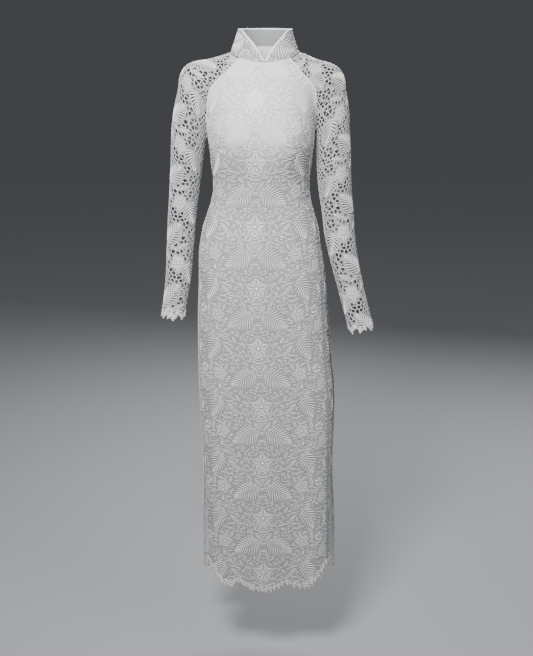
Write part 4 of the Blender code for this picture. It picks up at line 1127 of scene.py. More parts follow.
def filled(outline, holes, step, margin):
    """Points and triangles inside an outline and round its holes."""
    low, high = outline.min(0), outline.max(0)
    grid = np.stack(np.meshgrid(np.arange(low[0], high[0], step), np.arange(low[1], high[1], step)), -1)
    grid = grid.reshape(-1, 2)
    grid = grid[inside(grid, outline)]
    grid = grid[clearance(grid, outline) > margin]
    for hole in holes:
        near = ((grid > hole.min(0) - margin) & (grid < hole.max(0) + margin)).all(axis=1)
        spots = np.flatnonzero(near)
        if len(spots):
            bad = inside(grid[spots], hole) | (clearance(grid[spots], hole) < margin)
            grid = np.delete(grid, spots[bad], axis=0)
    whole = np.concatenate([outline, *holes, grid])
    edges, start = [], 0
    for loop in (outline, *holes):
        edges += [(start + i, start + (i + 1) % len(loop)) for i in range(len(loop))]
        start += len(loop)
    found, _, faces, _, _, _ = delaunay_2d_cdt([Vector(p) for p in whole], edges, [], 0, 1e-7)
    places = np.array([tuple(p) for p in found])
    faces = np.array([face for face in faces if len(face) == 3])
    middles = places[faces].mean(axis=1)
    keep = inside(middles, outline)
    for hole in holes:
        near = np.flatnonzero(((middles > hole.min(0)) & (middles < hole.max(0))).all(axis=1) & keep)
        if len(near):
            keep[near[inside(middles[near], hole)]] = False
    return places, faces[keep]


class Drape:
    """A curved cloth sampled on an even grid, so that many places are found at once."""

    STEP = 0.003
    COLUMNS = 161

    def __init__(self, cloth):
        self.cloth = cloth
        self.low, self.high = cloth.levels[0], cloth.levels[-1]
        self.levels = np.linspace(self.low, self.high, round((self.high - self.low) / self.STEP) + 1)
        self.left, self.right = cloth.reach(self.levels, 0), cloth.reach(self.levels, -1)
        shares = np.linspace(0.0, 1.0, self.COLUMNS)
        across = self.left[:, None] + (self.right - self.left)[:, None] * shares
        flat = np.stack(np.broadcast_arrays(across, self.levels[:, None]), axis=-1).reshape(-1, 2)
        self.points = cloth.at(flat).reshape(*across.shape, 3)
        self.normals = cloth.normal(flat).reshape(*across.shape, 3)

    def lifted(self, places, height):
        """Points in space over flat places, moved out by a height. Just past an edge the cloth goes on."""
        row = (places[:, 1] - self.low) / (self.levels[1] - self.levels[0])
        i = np.clip(row.astype(int), 0, len(self.levels) - 2)
        f = row - i
        left = self.left[i] * (1 - f) + self.left[i + 1] * f
        right = self.right[i] * (1 - f) + self.right[i + 1] * f
        spot = (places[:, 0] - left) / (right - left) * (self.COLUMNS - 1)
        j = np.clip(spot.astype(int), 0, self.COLUMNS - 2)
        g = spot - j
        f, g = f[:, None], g[:, None]
        found = []
        for grid in (self.points, self.normals):
            lower = grid[i, j] * (1 - g) + grid[i, j + 1] * g
            upper = grid[i + 1, j] * (1 - g) + grid[i + 1, j + 1] * g
            found.append(lower * (1 - f) + upper * f)
        point, normal = found
        normal /= np.linalg.norm(normal, axis=1)[:, None]
        return point + normal * np.reshape(height, (-1, 1))


class BodyDrape(Drape):
    """The drape of a body panel."""


def nearest_on(points, loop):
    """The nearest places on a closed loop."""
    a, b = loop, np.roll(loop, -1, axis=0)
    line = b - a
    best, found = np.full(len(points), np.inf), np.zeros_like(points)
    for start, step in zip(a, line):
        f = np.clip(((points - start) @ step) / max(step @ step, 1e-15), 0.0, 1.0)
        near = start + f[:, None] * step
        far = ((points - near) ** 2).sum(axis=1)
        better = far < best
        best[better], found[better] = far[better], near[better]
    return found


def clipped(points, faces, outline):
    """Moves points outside an outline onto it, and leaves out the faces that lie wholly outside."""
    within = inside(points[:, :2], outline)
    faces = faces[within[faces].any(axis=1)]
    used = np.zeros(len(points), bool)
    used[faces.ravel()] = True
    out = np.flatnonzero(used & ~within)
    moved = points.copy()
    moved[out, :2] = nearest_on(points[out, :2], outline)
    if points.shape[1] > 2:
        moved[out, 2] = 0.0
    return moved, faces, used


def packed(arrays, faces, used):
    """Arrays and faces with the unused points left out."""
    number = np.cumsum(used) - 1
    return [array[used] for array in arrays], number[faces]


def repeat_offsets(outline, axis_at, start):
    """Where the repeats lie that cover an outline."""
    low, high = outline.min(0), outline.max(0)
    offsets = []
    first = math.floor((low[1] - start) / REPEAT_TALL - 0.5)
    last = math.ceil((high[1] - start) / REPEAT_TALL + 0.5)
    for row in range(first, last + 1):
        level = start + row * REPEAT_TALL
        for column_number in (-1, 0, 1):
            offset = np.array((axis_at + column_number * 2 * DESIGN_HALF, level))
            if offset[0] - DESIGN_HALF < high[0] and offset[0] + DESIGN_HALF > low[0]:
                offsets.append(offset)
    return offsets


def laid(kind, offsets, outline):
    """One kind of stitching, repeated and cut to an outline."""
    points, faces, threads = kind
    copies = []
    for offset in offsets:
        copies.append((points + (*offset, 0.0), faces, threads))
    points, faces, threads = joined(copies)
    points, faces, used = clipped(points, faces, outline)
    (points, threads), faces = packed((points, threads), faces, used)
    return points, faces, threads


def ground_cut(ground, offsets, outline):
    """The lace's ground, repeated, welded and cut to an outline: places and triangles."""
    places, faces = ground
    whole = np.concatenate([places + offset for offset in offsets])
    faces = np.concatenate([faces + k * len(places) for k in range(len(offsets))])
    keys = np.round(whole * WELD).astype(int)
    _, first, number = np.unique(keys, axis=0, return_index=True, return_inverse=True)
    places, faces = whole[first], number.reshape(-1)[faces]
    places, faces, used = clipped(places, faces, outline)
    a, b, c = (places[faces[:, k]] for k in range(3))
    area = np.abs((b[:, 0] - a[:, 0]) * (c[:, 1] - a[:, 1]) - (b[:, 1] - a[:, 1]) * (c[:, 0] - a[:, 0]))
    faces = faces[area > 1e-8]
    used[:] = False
    used[faces.ravel()] = True
    (places,), faces = packed((places,), faces, used)
    return places, faces


def polygon_area(loop):
    x, y = loop[:, 0], loop[:, 1]
    return abs((x * np.roll(y, -1) - np.roll(x, -1) * y).sum()) / 2


def make_mesh(name, points, faces, threads, high, material):
    """An object from arrays. threads becomes its UV map, high gives each point's colour tone, which paints shade
    on its low parts.
    """
    mesh = bpy.data.meshes.new(name)
    sides = faces.shape[1] if isinstance(faces, np.ndarray) else 0
    mesh.vertices.add(len(points))
    mesh.vertices.foreach_set("co", np.ascontiguousarray(points, np.float32).ravel())
    mesh.loops.add(faces.size)
    mesh.loops.foreach_set("vertex_index", np.ascontiguousarray(faces, np.int32).ravel())
    mesh.polygons.add(len(faces))
    mesh.polygons.foreach_set("loop_start", np.arange(0, faces.size, sides, dtype=np.int32))
    mesh.update(calc_edges=True)
    mesh.validate()
    corner = np.empty(len(mesh.loops), np.int32)
    mesh.loops.foreach_get("vertex_index", corner)
    layer = mesh.uv_layers.new(name="thread")
    layer.data.foreach_set("uv", np.ascontiguousarray(threads[corner], np.float32).ravel())
    raised = mesh.attributes.new("high", "FLOAT", "POINT")
    raised.data.foreach_set("value", np.ascontiguousarray(high, np.float32))
    mesh.materials.append(material)
    mesh.shade_smooth()
    made = bpy.data.objects.new(name, mesh)
    bpy.context.scene.collection.objects.link(made)
    return made


def calm(levels):
    """How calm the relief is at a level of the body, which also lightens its painted shade: none below the
    waist.
    """
    share = np.clip((levels - CALM_FROM) / (CALM_TO - CALM_FROM), 0.0, 1.0)
    return CALM * share * share * (3 - 2 * share)


def make_stitching(name, drape, kind, offsets, outline, base, material):
    """A piece of raised stitching on a drape."""
    points, faces, threads = laid(kind, offsets, outline)
    # Painted shade: the colour tone follows each point's height, so the low parts of the stitching are painted
    # darker
    tone = points[:, 2] / HIGHEST
    if isinstance(drape, BodyDrape):
        quiet = calm(points[:, 1])
        points[:, 2] *= 1 - quiet
        # Over the chest the painted shade is lifted toward the raised colour
        tone = tone * (1 - quiet) + 0.7 * quiet
    space = drape.lifted(points[:, :2], points[:, 2] + base)
    middle = points[faces].mean(axis=1)
    normal = np.cross(space[faces[:, 2]] - space[faces[:, 0]], space[faces[:, 3]] - space[faces[:, 1]])
    outward = drape.lifted(middle[:, :2], 0.001) - drape.lifted(middle[:, :2], 0.0)
    wrong = (normal * outward).sum(axis=1) < 0
    faces[wrong] = faces[wrong][:, ::-1]
    return make_mesh(name, space, faces, threads, tone, material)


def make_wall(name, drape, places, faces, top, bottom, material):
    """A closed cloth of even thickness over flat places. Its top face takes the ground's painted shade tone; on
    the body that shade is lighter over the chest, and the underside keeps the thread colour.
    """
    count = len(places)
    points = np.concatenate((drape.lifted(places, top), drape.lifted(places, bottom)))
    sides = np.concatenate([faces[:, [a, b]] for a, b in ((0, 1), (1, 2), (2, 0))])
    keys = sides[:, 0] * count + sides[:, 1]
    back = sides[:, 1] * count + sides[:, 0]
    rim = sides[~np.isin(keys, back)]
    a, b = rim[:, 0], rim[:, 1]
    rims = np.concatenate((np.stack((b, a, a + count), 1), np.stack((b, a + count, b + count), 1)))
    whole = np.concatenate((faces, faces[:, ::-1] + count, rims))
    corners = points[faces]
    normal = np.cross(corners[:, 1] - corners[:, 0], corners[:, 2] - corners[:, 0])
    outward = points[faces[:, 0]] - points[faces[:, 0] + count]
    if (normal * outward).sum() < 0:
        whole = whole[:, ::-1]
    # Painted shade on the top face; on the body the underside keeps the thread colour
    tone = np.full(2 * count, GROUND_SHADE_TONE)
    if isinstance(drape, BodyDrape):
        tone[:count] += calm(places[:, 1]) * 0.45
        tone[count:] = UNDERSIDE_TONE
    made = make_mesh(name, points, whole, np.tile(places, (2, 1)), tone, material)
    made.data.set_sharp_from_angle(angle=math.radians(55))
    return made


def cord_along(name, drape, line, half, high, base, material, closed, tone=0.3):
    """A fine raised cord along flat places, as on an edge or a seam. Its colour tone follows its height plus
    tone, which paints shade at its foot.
    """
    out = Stitching()
    out.strip(line, half, high, 0.0, ROUND, closed)
    points, faces, threads = out.arrays()
    space = drape.lifted(points[:, :2], points[:, 2] + base)
    return make_mesh(name, space, faces, threads, points[:, 2] / HIGHEST + tone, material)


CACHE = {}


def cached(key, maker, *values):
    """Makes a thing once and keeps it for the other pieces."""
    if key not in CACHE:
        CACHE[key] = maker(*values)
    return CACHE[key]


def body_drape(side):
    return cached(("body", side), lambda: BodyDrape(body_cloth(side)))


def sleeve_drape(side):
    arm, end = (RIGHT_ARM, SLEEVE_END["right"]) if side < 0 else (LEFT_ARM, SLEEVE_END["left"])
    return cached(("sleeve", side), lambda: Drape(sleeve_cloth(side, arm, end)))


def lace_design(design=BODY_DESIGN):
    return cached(("design", design.slots), lambda: LaceDesign(design))


def sleeve_outline(cloth, half, end):
    """The flat outline of one half of a sleeve, from the collar to its lobed cuff."""
    seam, sign = (0, -1) if half == "front" else (-1, 1)
    fall = [cloth.at([(0.0, level)])[0, 2] for level in cloth.levels]
    cuff = float(np.interp(-end, -np.array(fall), cloth.levels))
    underarm = cloth.levels[NECK_RINGS + SHOULDER_RINGS_MADE - 2]
    levels = np.linspace(SLEEVE_BELOW_SEAM, underarm, 24)
    levels = np.concatenate((levels, np.linspace(underarm, cuff - CUFF_LOBE, 56)[1:]))
    edge = [(float(cloth.reach(v, seam)) - sign * 0.0003, v) for v in levels]
    reach = abs(edge[-1][0])
    lobe = 2 * reach / CUFF_LOBES
    across = np.linspace(reach, 0.0001, 8 * CUFF_LOBES + 1)[1:-1]
    hem = [(sign * x, cuff - CUFF_LOBE + CUFF_LOBE * abs(math.sin(math.pi * x / lobe))) for x in across]
    crown = [(sign * 0.0001, v) for v in np.linspace(cuff - CUFF_LOBE, SLEEVE_BELOW_SEAM, 90)]
    return np.array(thinned(edge + hem + crown, 0.0012))


def hem_leaves(line, down, dice):
    """Small leaves and petals that hang from a hem or cuff line. down is the way that they point."""
    out = Stitching()
    line = np.asarray(line)
    along = np.concatenate(([0.0], np.cumsum(np.linalg.norm(np.diff(line, axis=0), axis=1))))
    at = 0.006
    while at < along[-1] - 0.004:
        spot = np.array([np.interp(at, along, line[:, k]) for k in range(2)])
        long = dice.uniform(0.015, 0.025)
        wide = long * dice.uniform(0.40, 0.52)
        turn = down + dice.uniform(-32, 32)
        root = spot - placed([(long * 0.52, 0.0)], 0.0, 0.0, turn)[0]
        if dice.uniform() < 0.6:
            middle = root + placed([(long / 2, 0.0)], 0.0, 0.0, turn)[0]
            draw_leaf(out, Leaf(*middle, long, wide, turn, 4))
        else:
            draw_petal(out, root, long, wide, turn, 0.6)
        at += dice.uniform(0.0085, 0.014)
    return out


def group_of(name, inputs, outputs):
    """A new shader node group with its sockets, and its two end nodes."""
    made = bpy.data.node_groups.new(name, "ShaderNodeTree")
    for label, kind, value in inputs:
        socket = made.interface.new_socket(name=label, in_out="INPUT", socket_type=kind)
        if value is not None:
            socket.default_value = value
    for label, kind in outputs:
        made.interface.new_socket(name=label, in_out="OUTPUT", socket_type=kind)
    return made, made.nodes.new("NodeGroupInput"), made.nodes.new("NodeGroupOutput")


def math_node(tree, operation, *values):
    """A math node fed by links or numbers."""
    node = tree.nodes.new("ShaderNodeMath")
    node.operation = operation
    for socket, value in zip(node.inputs, values):
        if isinstance(value, bpy.types.NodeSocket):
            tree.links.new(value, socket)
        else:
            socket.default_value = value
    return node.outputs[0]


def thread_group():
    """Fine stitch lines: a height made of threads along and across the cloth, with uneven spacing."""

    def make():
        tree, start, end = group_of(
            "stitch_threads",
            (
                ("Along Pitch", "NodeSocketFloat", 0.0006),
                ("Across Pitch", "NodeSocketFloat", 0.0008),
                ("Across Share", "NodeSocketFloat", 0.4),
            ),
            (("Height", "NodeSocketFloat"), ("Grain", "NodeSocketFloat")),
        )
        place = tree.nodes.new("ShaderNodeUVMap")
        place.uv_map = "thread"
        apart = tree.nodes.new("ShaderNodeSeparateXYZ")
        tree.links.new(place.outputs["UV"], apart.inputs[0])
        shake = tree.nodes.new("ShaderNodeTexNoise")
        shake.inputs["Scale"].default_value = 900.0
        shake.inputs["Detail"].default_value = 2.0
        tree.links.new(place.outputs["UV"], shake.inputs["Vector"])
        lines = []
        for axis, pitch in ((0, "Along Pitch"), (1, "Across Pitch")):
            turns = math_node(tree, "DIVIDE", math_node(tree, "MULTIPLY", apart.outputs[axis], 2 * math.pi),
                              start.outputs[pitch])
            shaken = math_node(tree, "MULTIPLY_ADD", shake.outputs["Fac"], 2.4, turns)
            lines.append(math_node(tree, "MULTIPLY_ADD", math_node(tree, "SINE", shaken), 0.5, 0.5))
        share = start.outputs["Across Share"]
        rest = math_node(tree, "SUBTRACT", 1.0, share)
        total = math_node(tree, "MULTIPLY_ADD", lines[0], rest, math_node(tree, "MULTIPLY", lines[1], share))
        grain = tree.nodes.new("ShaderNodeTexNoise")
        grain.inputs["Scale"].default_value = 260.0
        grain.inputs["Detail"].default_value = 5.0
        tree.links.new(place.outputs["UV"], grain.inputs["Vector"])
        tree.links.new(math_node(tree, "MULTIPLY_ADD", grain.outputs["Fac"], 0.5, total), end.inputs["Height"])
        tree.links.new(grain.outputs["Fac"], end.inputs["Grain"])
        return tree

    return cached("thread_group", make)


def tone_group():
    """Cloth colour with painted shade: darker where it is low, lighter where it is raised, softly uneven over
    the garment.
    """

    def make():
        tree, start, end = group_of(
            "cloth_tone",
            (
                ("Raised Color", "NodeSocketColor", (0.8, 0.8, 0.8, 1.0)),
                ("Ground Color", "NodeSocketColor", (0.6, 0.6, 0.6, 1.0)),
                ("Grain", "NodeSocketFloat", 0.5),
                ("Unevenness", "NodeSocketFloat", 0.08),
            ),
            (("Color", "NodeSocketColor"), ("Raised", "NodeSocketFloat")),
        )
        # The attribute high holds each point's painted shade tone: low tones take the painted shade colour, high
        # ones the raised colour
        raised = tree.nodes.new("ShaderNodeAttribute")
        raised.attribute_name = "high"
        spread = tree.nodes.new("ShaderNodeMapRange")
        spread.inputs["From Min"].default_value = 0.10
        spread.inputs["From Max"].default_value = 0.60
        tree.links.new(raised.outputs["Fac"], spread.inputs["Value"])
        blend = tree.nodes.new("ShaderNodeMix")
        blend.data_type = "RGBA"
        tree.links.new(spread.outputs["Result"], blend.inputs["Factor"])
        tree.links.new(start.outputs["Ground Color"], blend.inputs["A"])
        tree.links.new(start.outputs["Raised Color"], blend.inputs["B"])
        coords = tree.nodes.new("ShaderNodeTexCoord")
        cloud = tree.nodes.new("ShaderNodeTexNoise")
        cloud.inputs["Scale"].default_value = 7.0
        cloud.inputs["Detail"].default_value = 3.0
        tree.links.new(coords.outputs["Object"], cloud.inputs["Vector"])
        both = math_node(tree, "ADD", cloud.outputs["Fac"], start.outputs["Grain"])
        swing = math_node(tree, "MULTIPLY", math_node(tree, "SUBTRACT", both, 1.0), start.outputs["Unevenness"])
        bright = tree.nodes.new("ShaderNodeHueSaturation")
        tree.links.new(math_node(tree, "ADD", swing, 1.0), bright.inputs["Value"])
        tree.links.new(blend.outputs["Result"], bright.inputs["Color"])
        tree.links.new(bright.outputs["Color"], end.inputs["Color"])
        tree.links.new(spread.outputs["Result"], end.inputs["Raised"])
        return tree

    return cached("tone_group", make)


def cloth_material(name, raised, ground, rough, bump, pitches, sheen, unevenness):
    """A cloth material from the two groups. ground is the painted shade colour of its low parts; rough holds its
    roughness where low and where raised.
    """
    made = bpy.data.materials.new(name)
    made.use_nodes = True
    tree = made.node_tree
    shader = tree.nodes["Principled BSDF"]
    threads = tree.nodes.new("ShaderNodeGroup")
    threads.node_tree = thread_group()
    for label, value in zip(("Along Pitch", "Across Pitch", "Across Share"), pitches):
        threads.inputs[label].default_value = value
    tone = tree.nodes.new("ShaderNodeGroup")
    tone.node_tree = tone_group()
    tone.inputs["Raised Color"].default_value = (*raised, 1.0)
    # For the lace this is painted shade; for the satin it equals the satin's own colour, so no shade is painted
    tone.inputs["Ground Color"].default_value = (*ground, 1.0)
    tone.inputs["Unevenness"].default_value = unevenness
    tree.links.new(threads.outputs["Grain"], tone.inputs["Grain"])
    tree.links.new(tone.outputs["Color"], shader.inputs["Base Color"])
    shader.inputs["Roughness"].default_value = rough[0]
    if rough[1] != rough[0]:
        gloss = math_node(tree, "MULTIPLY_ADD", tone.outputs["Raised"], rough[1] - rough[0], rough[0])
        tree.links.new(gloss, shader.inputs["Roughness"])
    relief = tree.nodes.new("ShaderNodeBump")
    relief.inputs["Strength"].default_value = bump
    relief.inputs["Distance"].default_value = 0.0003
    tree.links.new(threads.outputs["Height"], relief.inputs["Height"])
    tree.links.new(relief.outputs["Normal"], shader.inputs["Normal"])
    shader.inputs["Sheen Weight"].default_value = sheen
    shader.inputs["Sheen Roughness"].default_value = 0.45
    made.diffuse_color = (*raised, 1.0)
    return made


def lace_material():
    lace = bpy.context.scene.ao_dai_lace
    # The lace's low parts take the painted shade colour and its raised stitching the thread colour
    return cached("lace_material", lambda: cloth_material(
        "lace_thread", lace.thread_color, lace.recess_shade_color, (0.78, 0.44), lace.stitch_bump,
        (0.00055, 0.0009, 0.25), 0.12, 0.10
    ))


def satin_material():
    satin = bpy.context.scene.ao_dai_satin
    return cached("satin_material", lambda: cloth_material(
        "lining_satin", satin.color, satin.color, (0.38, 0.38), satin.weave_bump,
        (0.0005, 0.0007, 0.5), 0.10, 0.06
    ))


class LaceSettings(bpy.types.PropertyGroup):
    """Sizes and colours of the lace."""

    thread_color: bpy.props.FloatVectorProperty(
        name="Thread Color", description="Colour of the raised satin stitching",
        default=(0.90, 0.90, 0.865), min=0.0, max=1.0, subtype="COLOR"
    )
    # Painted shade: the white lace's low ground is given this dark grey, so the recesses between its raised
    # forms look shadowed
    recess_shade_color: bpy.props.FloatVectorProperty(
        name="Ground Color", description="Colour of the lace between its raised forms",
        default=(0.27, 0.28, 0.28), min=0.0, max=1.0, subtype="COLOR"
    )
    thickness: bpy.props.FloatProperty(
        name="Thickness", description="Thickness of the lace's ground",
        default=0.0011, min=0.0005, max=0.003, subtype="DISTANCE", unit="LENGTH"
    )
    edge_cord: bpy.props.FloatProperty(
        name="Edge Cord", description="Half the width of the fine cord along cut edges",
        default=0.0008, min=0.0003, max=0.004, subtype="DISTANCE", unit="LENGTH"
    )
    stitch_bump: bpy.props.FloatProperty(
        name="Stitch Bump", description="Strength of the fine thread lines",
        default=0.35, min=0.0, max=1.0, subtype="FACTOR"
    )


class SatinSettings(bpy.types.PropertyGroup):
    """Sizes and colour of the satin lining and binding."""

    color: bpy.props.FloatVectorProperty(
        name="Satin Color", description="Colour of the satin under the lace",
        default=(0.80, 0.82, 0.85), min=0.0, max=1.0, subtype="COLOR"
    )
    thickness: bpy.props.FloatProperty(
        name="Thickness", description="Thickness of the lining",
        default=0.0006, min=0.0003, max=0.002, subtype="DISTANCE", unit="LENGTH"
    )
    weave_bump: bpy.props.FloatProperty(
        name="Weave Bump", description="Strength of the fine weave",
        default=0.15, min=0.0, max=1.0, subtype="FACTOR"
    )


class StudioSettings(bpy.types.PropertyGroup):
    """The plain studio round the tunic."""

    floor_color: bpy.props.FloatVectorProperty(
        name="Floor Color", description="Colour of the plain floor",
        default=(0.37, 0.375, 0.39), min=0.0, max=1.0, subtype="COLOR"
    )
    floor_drop: bpy.props.FloatProperty(
        name="Floor Height", description="Height of the floor below the neck",
        default=-1.50, min=-2.0, max=-1.40, subtype="DISTANCE", unit="LENGTH"
    )
    key_light: bpy.props.FloatProperty(
        name="Key Light", description="Power of the large soft light in front",
        default=70.0, min=0.0, max=900.0, subtype="POWER", unit="POWER"
    )
    world_light: bpy.props.FloatProperty(
        name="Ambient Light", description="Strength of the even light from all round",
        default=0.19, min=0.0, max=5.0
    )


class AODAI_OT_linings(bpy.types.Operator):
    """Makes the satin linings under the front and back lace"""

    bl_idname = "aodai.linings"
    bl_label = "Satin Linings"

    def execute(self, context):
        satin = context.scene.ao_dai_satin
        for name, side, hem, size in (
            ("front_lining", -1, FRONT_HEM, (0.40, 1.27)), ("back_lining", 1, BACK_HEM, (0.44, 1.33)),
        ):
            drape = body_drape(side)
            outline = body_outline(drape.cloth, side, hem, lining=True)
            places, faces = filled(outline, [], LINING_STEP, 0.004)
            top = -(LACE + LAYER_GAP)
            made = make_wall(name + "_satin", drape, places, faces, top, top - satin.thickness, satin_material())
            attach(made, "root")
            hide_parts(name)
        return {"FINISHED"}


def lace_pieces(name, node, drape, offsets, outline, hem_stitching, design):
    """All lace of one panel or sleeve half: its ground and four kinds of stitching on it."""
    lace = bpy.context.scene.ao_dai_lace
    design, look = lace_design(design), lace_material()
    made = {}
    places, faces = ground_cut(design.ground, offsets, outline)
    made["ground"] = make_wall(name + "_ground", drape, places, faces, 0.0, -lace.thickness, look)
    for label, kind in (("leaves", design.leaves), ("flowers", design.flowers), ("cords", design.cords)):
        made[label] = make_stitching(f"{name}_{label}", drape, kind, offsets, outline, 0.0, look)
    made["edge"] = cord_along(name + "_edge", drape, outline, lace.edge_cord, 0.0009, 0.0, look, True)
    if hem_stitching:
        points, faces, threads = hem_stitching.arrays()
        space = drape.lifted(points[:, :2], points[:, 2] + 0.0002)
        # Painted shade: the hem's colour tone follows its height, darker on its low parts
        made["hem"] = make_mesh(name + "_hem", space, faces, threads, points[:, 2] / HIGHEST, look)
        thick = made["hem"].modifiers.new("thickness", "SOLIDIFY")
        thick.thickness = 0.0009
        thick.offset = 0.0
    for piece in made.values():
        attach(piece, "root")
    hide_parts(node)
    return made


class AODAI_OT_panels(bpy.types.Operator):
    """Makes the lace of the front and back panels"""

    bl_idname = "aodai.panels"
    bl_label = "Lace Panels"

    def execute(self, context):
        for name, side, hem, size in (
            ("front_lace", -1, FRONT_HEM, (0.40, 1.32)), ("back_lace", 1, BACK_HEM, (0.44, 1.40)),
        ):
            drape = body_drape(side)
            outline = body_outline(drape.cloth, side, hem)
            offsets = repeat_offsets(outline, LACE_AXIS, REPEAT_START)
            ends = sorted(outline[outline[:, 1] < hem.lowest + hem.corner_rise + LOBE_RISE][:, 0])
            line = np.array(hem_line((ends[0], ends[-1]), hem, False))
            stitching = hem_leaves(line, -90.0, np.random.default_rng(5 + side))
            made = lace_pieces(name, name, drape, offsets, outline, stitching, BODY_DESIGN)
            if side < 0:
                for number, at in enumerate(FRONT_DARTS):
                    line = [(at, level) for level in np.linspace(*DART_LEVELS, 24)]
                    # Painted shade: the dart cord's colour tone is lowered by 0.35, so it reads as the dark
                    # valley of a dart
                    dart = cord_along(
                        f"front_dart_{number}", drape, line, 0.0006, 0.0013, 0.0, lace_material(), False, -0.35
                    )
                    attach(dart, "root")
                    made[dart.name] = dart
            ground = made.pop("ground")
        return {"FINISHED"}


class AODAI_OT_sleeves(bpy.types.Operator):
    """Makes the open lace of the two sleeves, in two halves each"""

    bl_idname = "aodai.sleeves"
    bl_label = "Lace Sleeves"

    def execute(self, context):
        for name, side, start in (("right", -1, 0.035), ("left", 1, 0.090)):
            drape = sleeve_drape(side)
            for half in ("front", "back"):
                outline = sleeve_outline(drape.cloth, half, SLEEVE_END[name])
                offsets = repeat_offsets(outline, 0.0, start)
                cuff = outline[:, 1].max() - CUFF_LOBE
                line = outline[outline[:, 1] > cuff + 0.0005]
                stitching = hem_leaves(line, 90.0, np.random.default_rng(20 + side + len(half)))
                node = f"sleeve_{name}_{half}"
                made = lace_pieces(node + "_lace", node, drape, offsets, outline, stitching, SLEEVE_DESIGN)
                ground = made.pop("ground")
        return {"FINISHED"}


class AODAI_OT_collar(bpy.types.Operator):
    """Makes the standing collar and its satin binding"""

    bl_idname = "aodai.collar"
    bl_label = "Standing Collar"

    def execute(self, context):
        cloth, angles = collar_cloth()
        drape = Drape(cloth)
        across = cloth.across[0]
        share = column(COLLAR_V, "share", np.minimum(angles, 360 - angles), "angle")
        edge = collar_share(share, angles) * COLLAR_TALL
        bottom = [(x, COLLAR_ABOVE_SEAM) for x in across]
        top = [(x, level - COLLAR_BELOW_BINDING) for x, level in zip(across[::-1], edge[::-1])]
        outline = np.array(bottom + top)
        places, faces = filled(outline, [], 0.006, 0.002)
        look = lace_material()
        ground = make_wall("collar_lace", drape, places, faces, COLLAR_WALL / 2, -COLLAR_WALL / 2, look)
        made = [ground]
        design = lace_design()
        offsets = repeat_offsets(outline, 0.0, 0.0)
        for label, kind in (("leaves", design.leaves), ("flowers", design.flowers), ("cords", design.cords)):
            made.append(make_stitching(
                "collar_" + label, drape, kind, offsets, outline, COLLAR_WALL / 2, look
            ))
        for piece in made:
            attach(piece, "root")
        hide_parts("collar")
        binding = Stitching()
        line = np.stack((across, edge), axis=1)
        middle = cloth.at(line)
        middle[:, 2] += BINDING_RADIUS + SEAM_GAP
        turn = np.linspace(0, 2 * math.pi, 13)
        along = np.gradient(middle, axis=0)
        along /= np.linalg.norm(along, axis=1)[:, None]
        out = cloth.normal(line)
        up = np.cross(along, out)
        flat = BINDING_RADIUS * 1.15
        ring = middle[:, None] + flat * (
            np.cos(turn)[:, None] * out[:, None] + 1.25 * np.sin(turn)[:, None] * up[:, None]
        )
        length = np.concatenate(([0.0], np.cumsum(np.linalg.norm(np.diff(middle, axis=0), axis=1))))
        threads = np.stack(np.broadcast_arrays(length[:, None], turn * flat), axis=-1)
        binding.grid(ring, threads)
        points, faces, threads = binding.arrays()
        made = make_mesh(
            "collar_binding_satin", points, faces, threads, np.ones(len(points)), satin_material()
        )
        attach(made, "root")
        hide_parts("collar_binding")
        return {"FINISHED"}


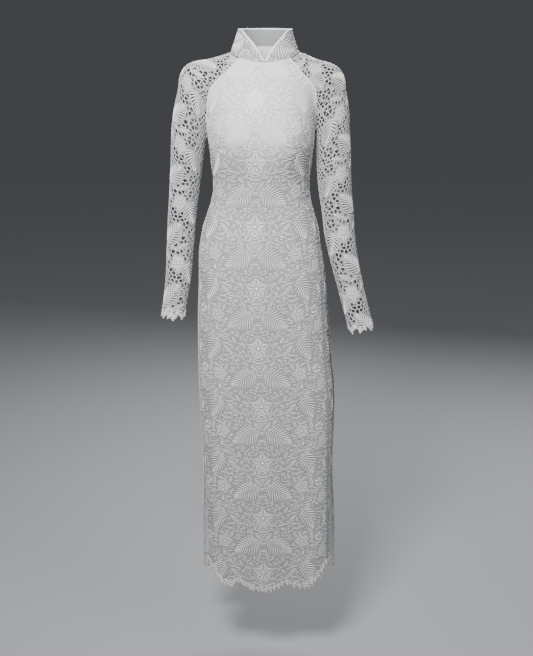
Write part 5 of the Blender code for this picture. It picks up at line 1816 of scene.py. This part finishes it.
class AODAI_OT_studio(bpy.types.Operator):
    """Makes the floor, the lights and the camera"""

    bl_idname = "aodai.studio"
    bl_label = "Studio"

    def execute(self, context):
        studio = context.scene.ao_dai_studio
        bpy.ops.mesh.primitive_plane_add(size=400.0, location=(0.0, 0.0, studio.floor_drop))
        floor = context.active_object
        floor.name = "floor"
        look = bpy.data.materials.new("floor_paint")
        look.use_nodes = True
        shader = look.node_tree.nodes["Principled BSDF"]
        shader.inputs["Base Color"].default_value = (*studio.floor_color, 1.0)
        shader.inputs["Roughness"].default_value = 1.0
        shader.inputs["Specular IOR Level"].default_value = 0.0
        floor.data.materials.append(look)
        world = context.scene.world or bpy.data.worlds.new("studio")
        context.scene.world = world
        world.use_nodes = True
        tree = world.node_tree
        back = tree.nodes["Background"]
        back.inputs["Color"].default_value = (0.84, 0.87, 0.92, 1.0)
        back.inputs["Strength"].default_value = studio.world_light
        seen = tree.nodes.new("ShaderNodeBackground")
        sky = back.inputs["Color"].default_value
        seen.inputs["Color"].default_value = [a * b for a, b in zip((*studio.floor_color, 1.0), sky)]
        seen.inputs["Strength"].default_value = studio.world_light
        path = tree.nodes.new("ShaderNodeLightPath")
        either = tree.nodes.new("ShaderNodeMixShader")
        tree.links.new(path.outputs["Is Camera Ray"], either.inputs["Fac"])
        tree.links.new(back.outputs["Background"], either.inputs[1])
        tree.links.new(seen.outputs["Background"], either.inputs[2])
        tree.links.new(either.outputs["Shader"], tree.nodes["World Output"].inputs["Surface"])
        for name, place, aim, size, power in (
            ("key", (-0.40, -1.45, 0.72), (0.0, 0.0, -0.12), 0.5, studio.key_light),
            ("fill", (2.3, -1.8, 0.7), (0.0, 0.0, -0.30), 1.4, studio.key_light * 0.24),
            ("back", (0.6, 2.1, 0.9), (0.0, 0.0, -0.40), 1.0, studio.key_light * 0.95),
        ):
            data = bpy.data.lights.new(name, "AREA")
            data.size = size
            data.energy = power
            light = bpy.data.objects.new(name, data)
            light.location = place
            way = Vector(aim) - Vector(place)
            light.rotation_euler = way.to_track_quat("-Z", "Y").to_euler()
            context.scene.collection.objects.link(light)
        data = bpy.data.cameras.new("camera")
        data.sensor_fit = "VERTICAL"
        data.sensor_height = 24.0
        data.lens = 24.0 * FOCAL_PIXELS / PHOTO_TALL
        camera = bpy.data.objects.new("camera", data)
        camera.location = (CAMERA_SIDE, -CAMERA_AWAY, CAMERA_HIGH)
        camera.rotation_euler = (math.radians(90.0 - CAMERA_PITCH), 0.0, 0.0)
        context.scene.collection.objects.link(camera)
        context.scene.camera = camera
        return {"FINISHED"}


class AODAI_PT_panel(bpy.types.Panel):
    """The sidebar panel that lists the settings and makers."""

    bl_label = "White Lace Ao Dai"
    bl_idname = "AODAI_PT_panel"
    bl_space_type = "VIEW_3D"
    bl_region_type = "UI"
    bl_category = "Ao Dai"

    def draw(self, context):
        layout = self.layout
        for settings in (context.scene.ao_dai_lace, context.scene.ao_dai_satin, context.scene.ao_dai_studio):
            for label in settings.__annotations__:
                layout.prop(settings, label)
        for maker in MAKERS:
            layout.operator(maker.bl_idname)


SETTINGS = (
    ("ao_dai_lace", LaceSettings), ("ao_dai_satin", SatinSettings), ("ao_dai_studio", StudioSettings),
)
MAKERS = (AODAI_OT_studio, AODAI_OT_linings, AODAI_OT_panels, AODAI_OT_sleeves, AODAI_OT_collar)


def register():
    for name, kind in SETTINGS:
        bpy.utils.register_class(kind)
        setattr(bpy.types.Scene, name, bpy.props.PointerProperty(type=kind))
    for kind in (*MAKERS, AODAI_PT_panel):
        bpy.utils.register_class(kind)


def unregister():
    for kind in (AODAI_PT_panel, *reversed(MAKERS)):
        bpy.utils.unregister_class(kind)
    for name, kind in reversed(SETTINGS):
        delattr(bpy.types.Scene, name)
        bpy.utils.unregister_class(kind)


def main():
    register()
    bpy.ops.aodai.studio()
    bpy.ops.aodai.linings()
    bpy.ops.aodai.panels()
    bpy.ops.aodai.sleeves()
    bpy.ops.aodai.collar()


if __name__ == "__main__":
    main()
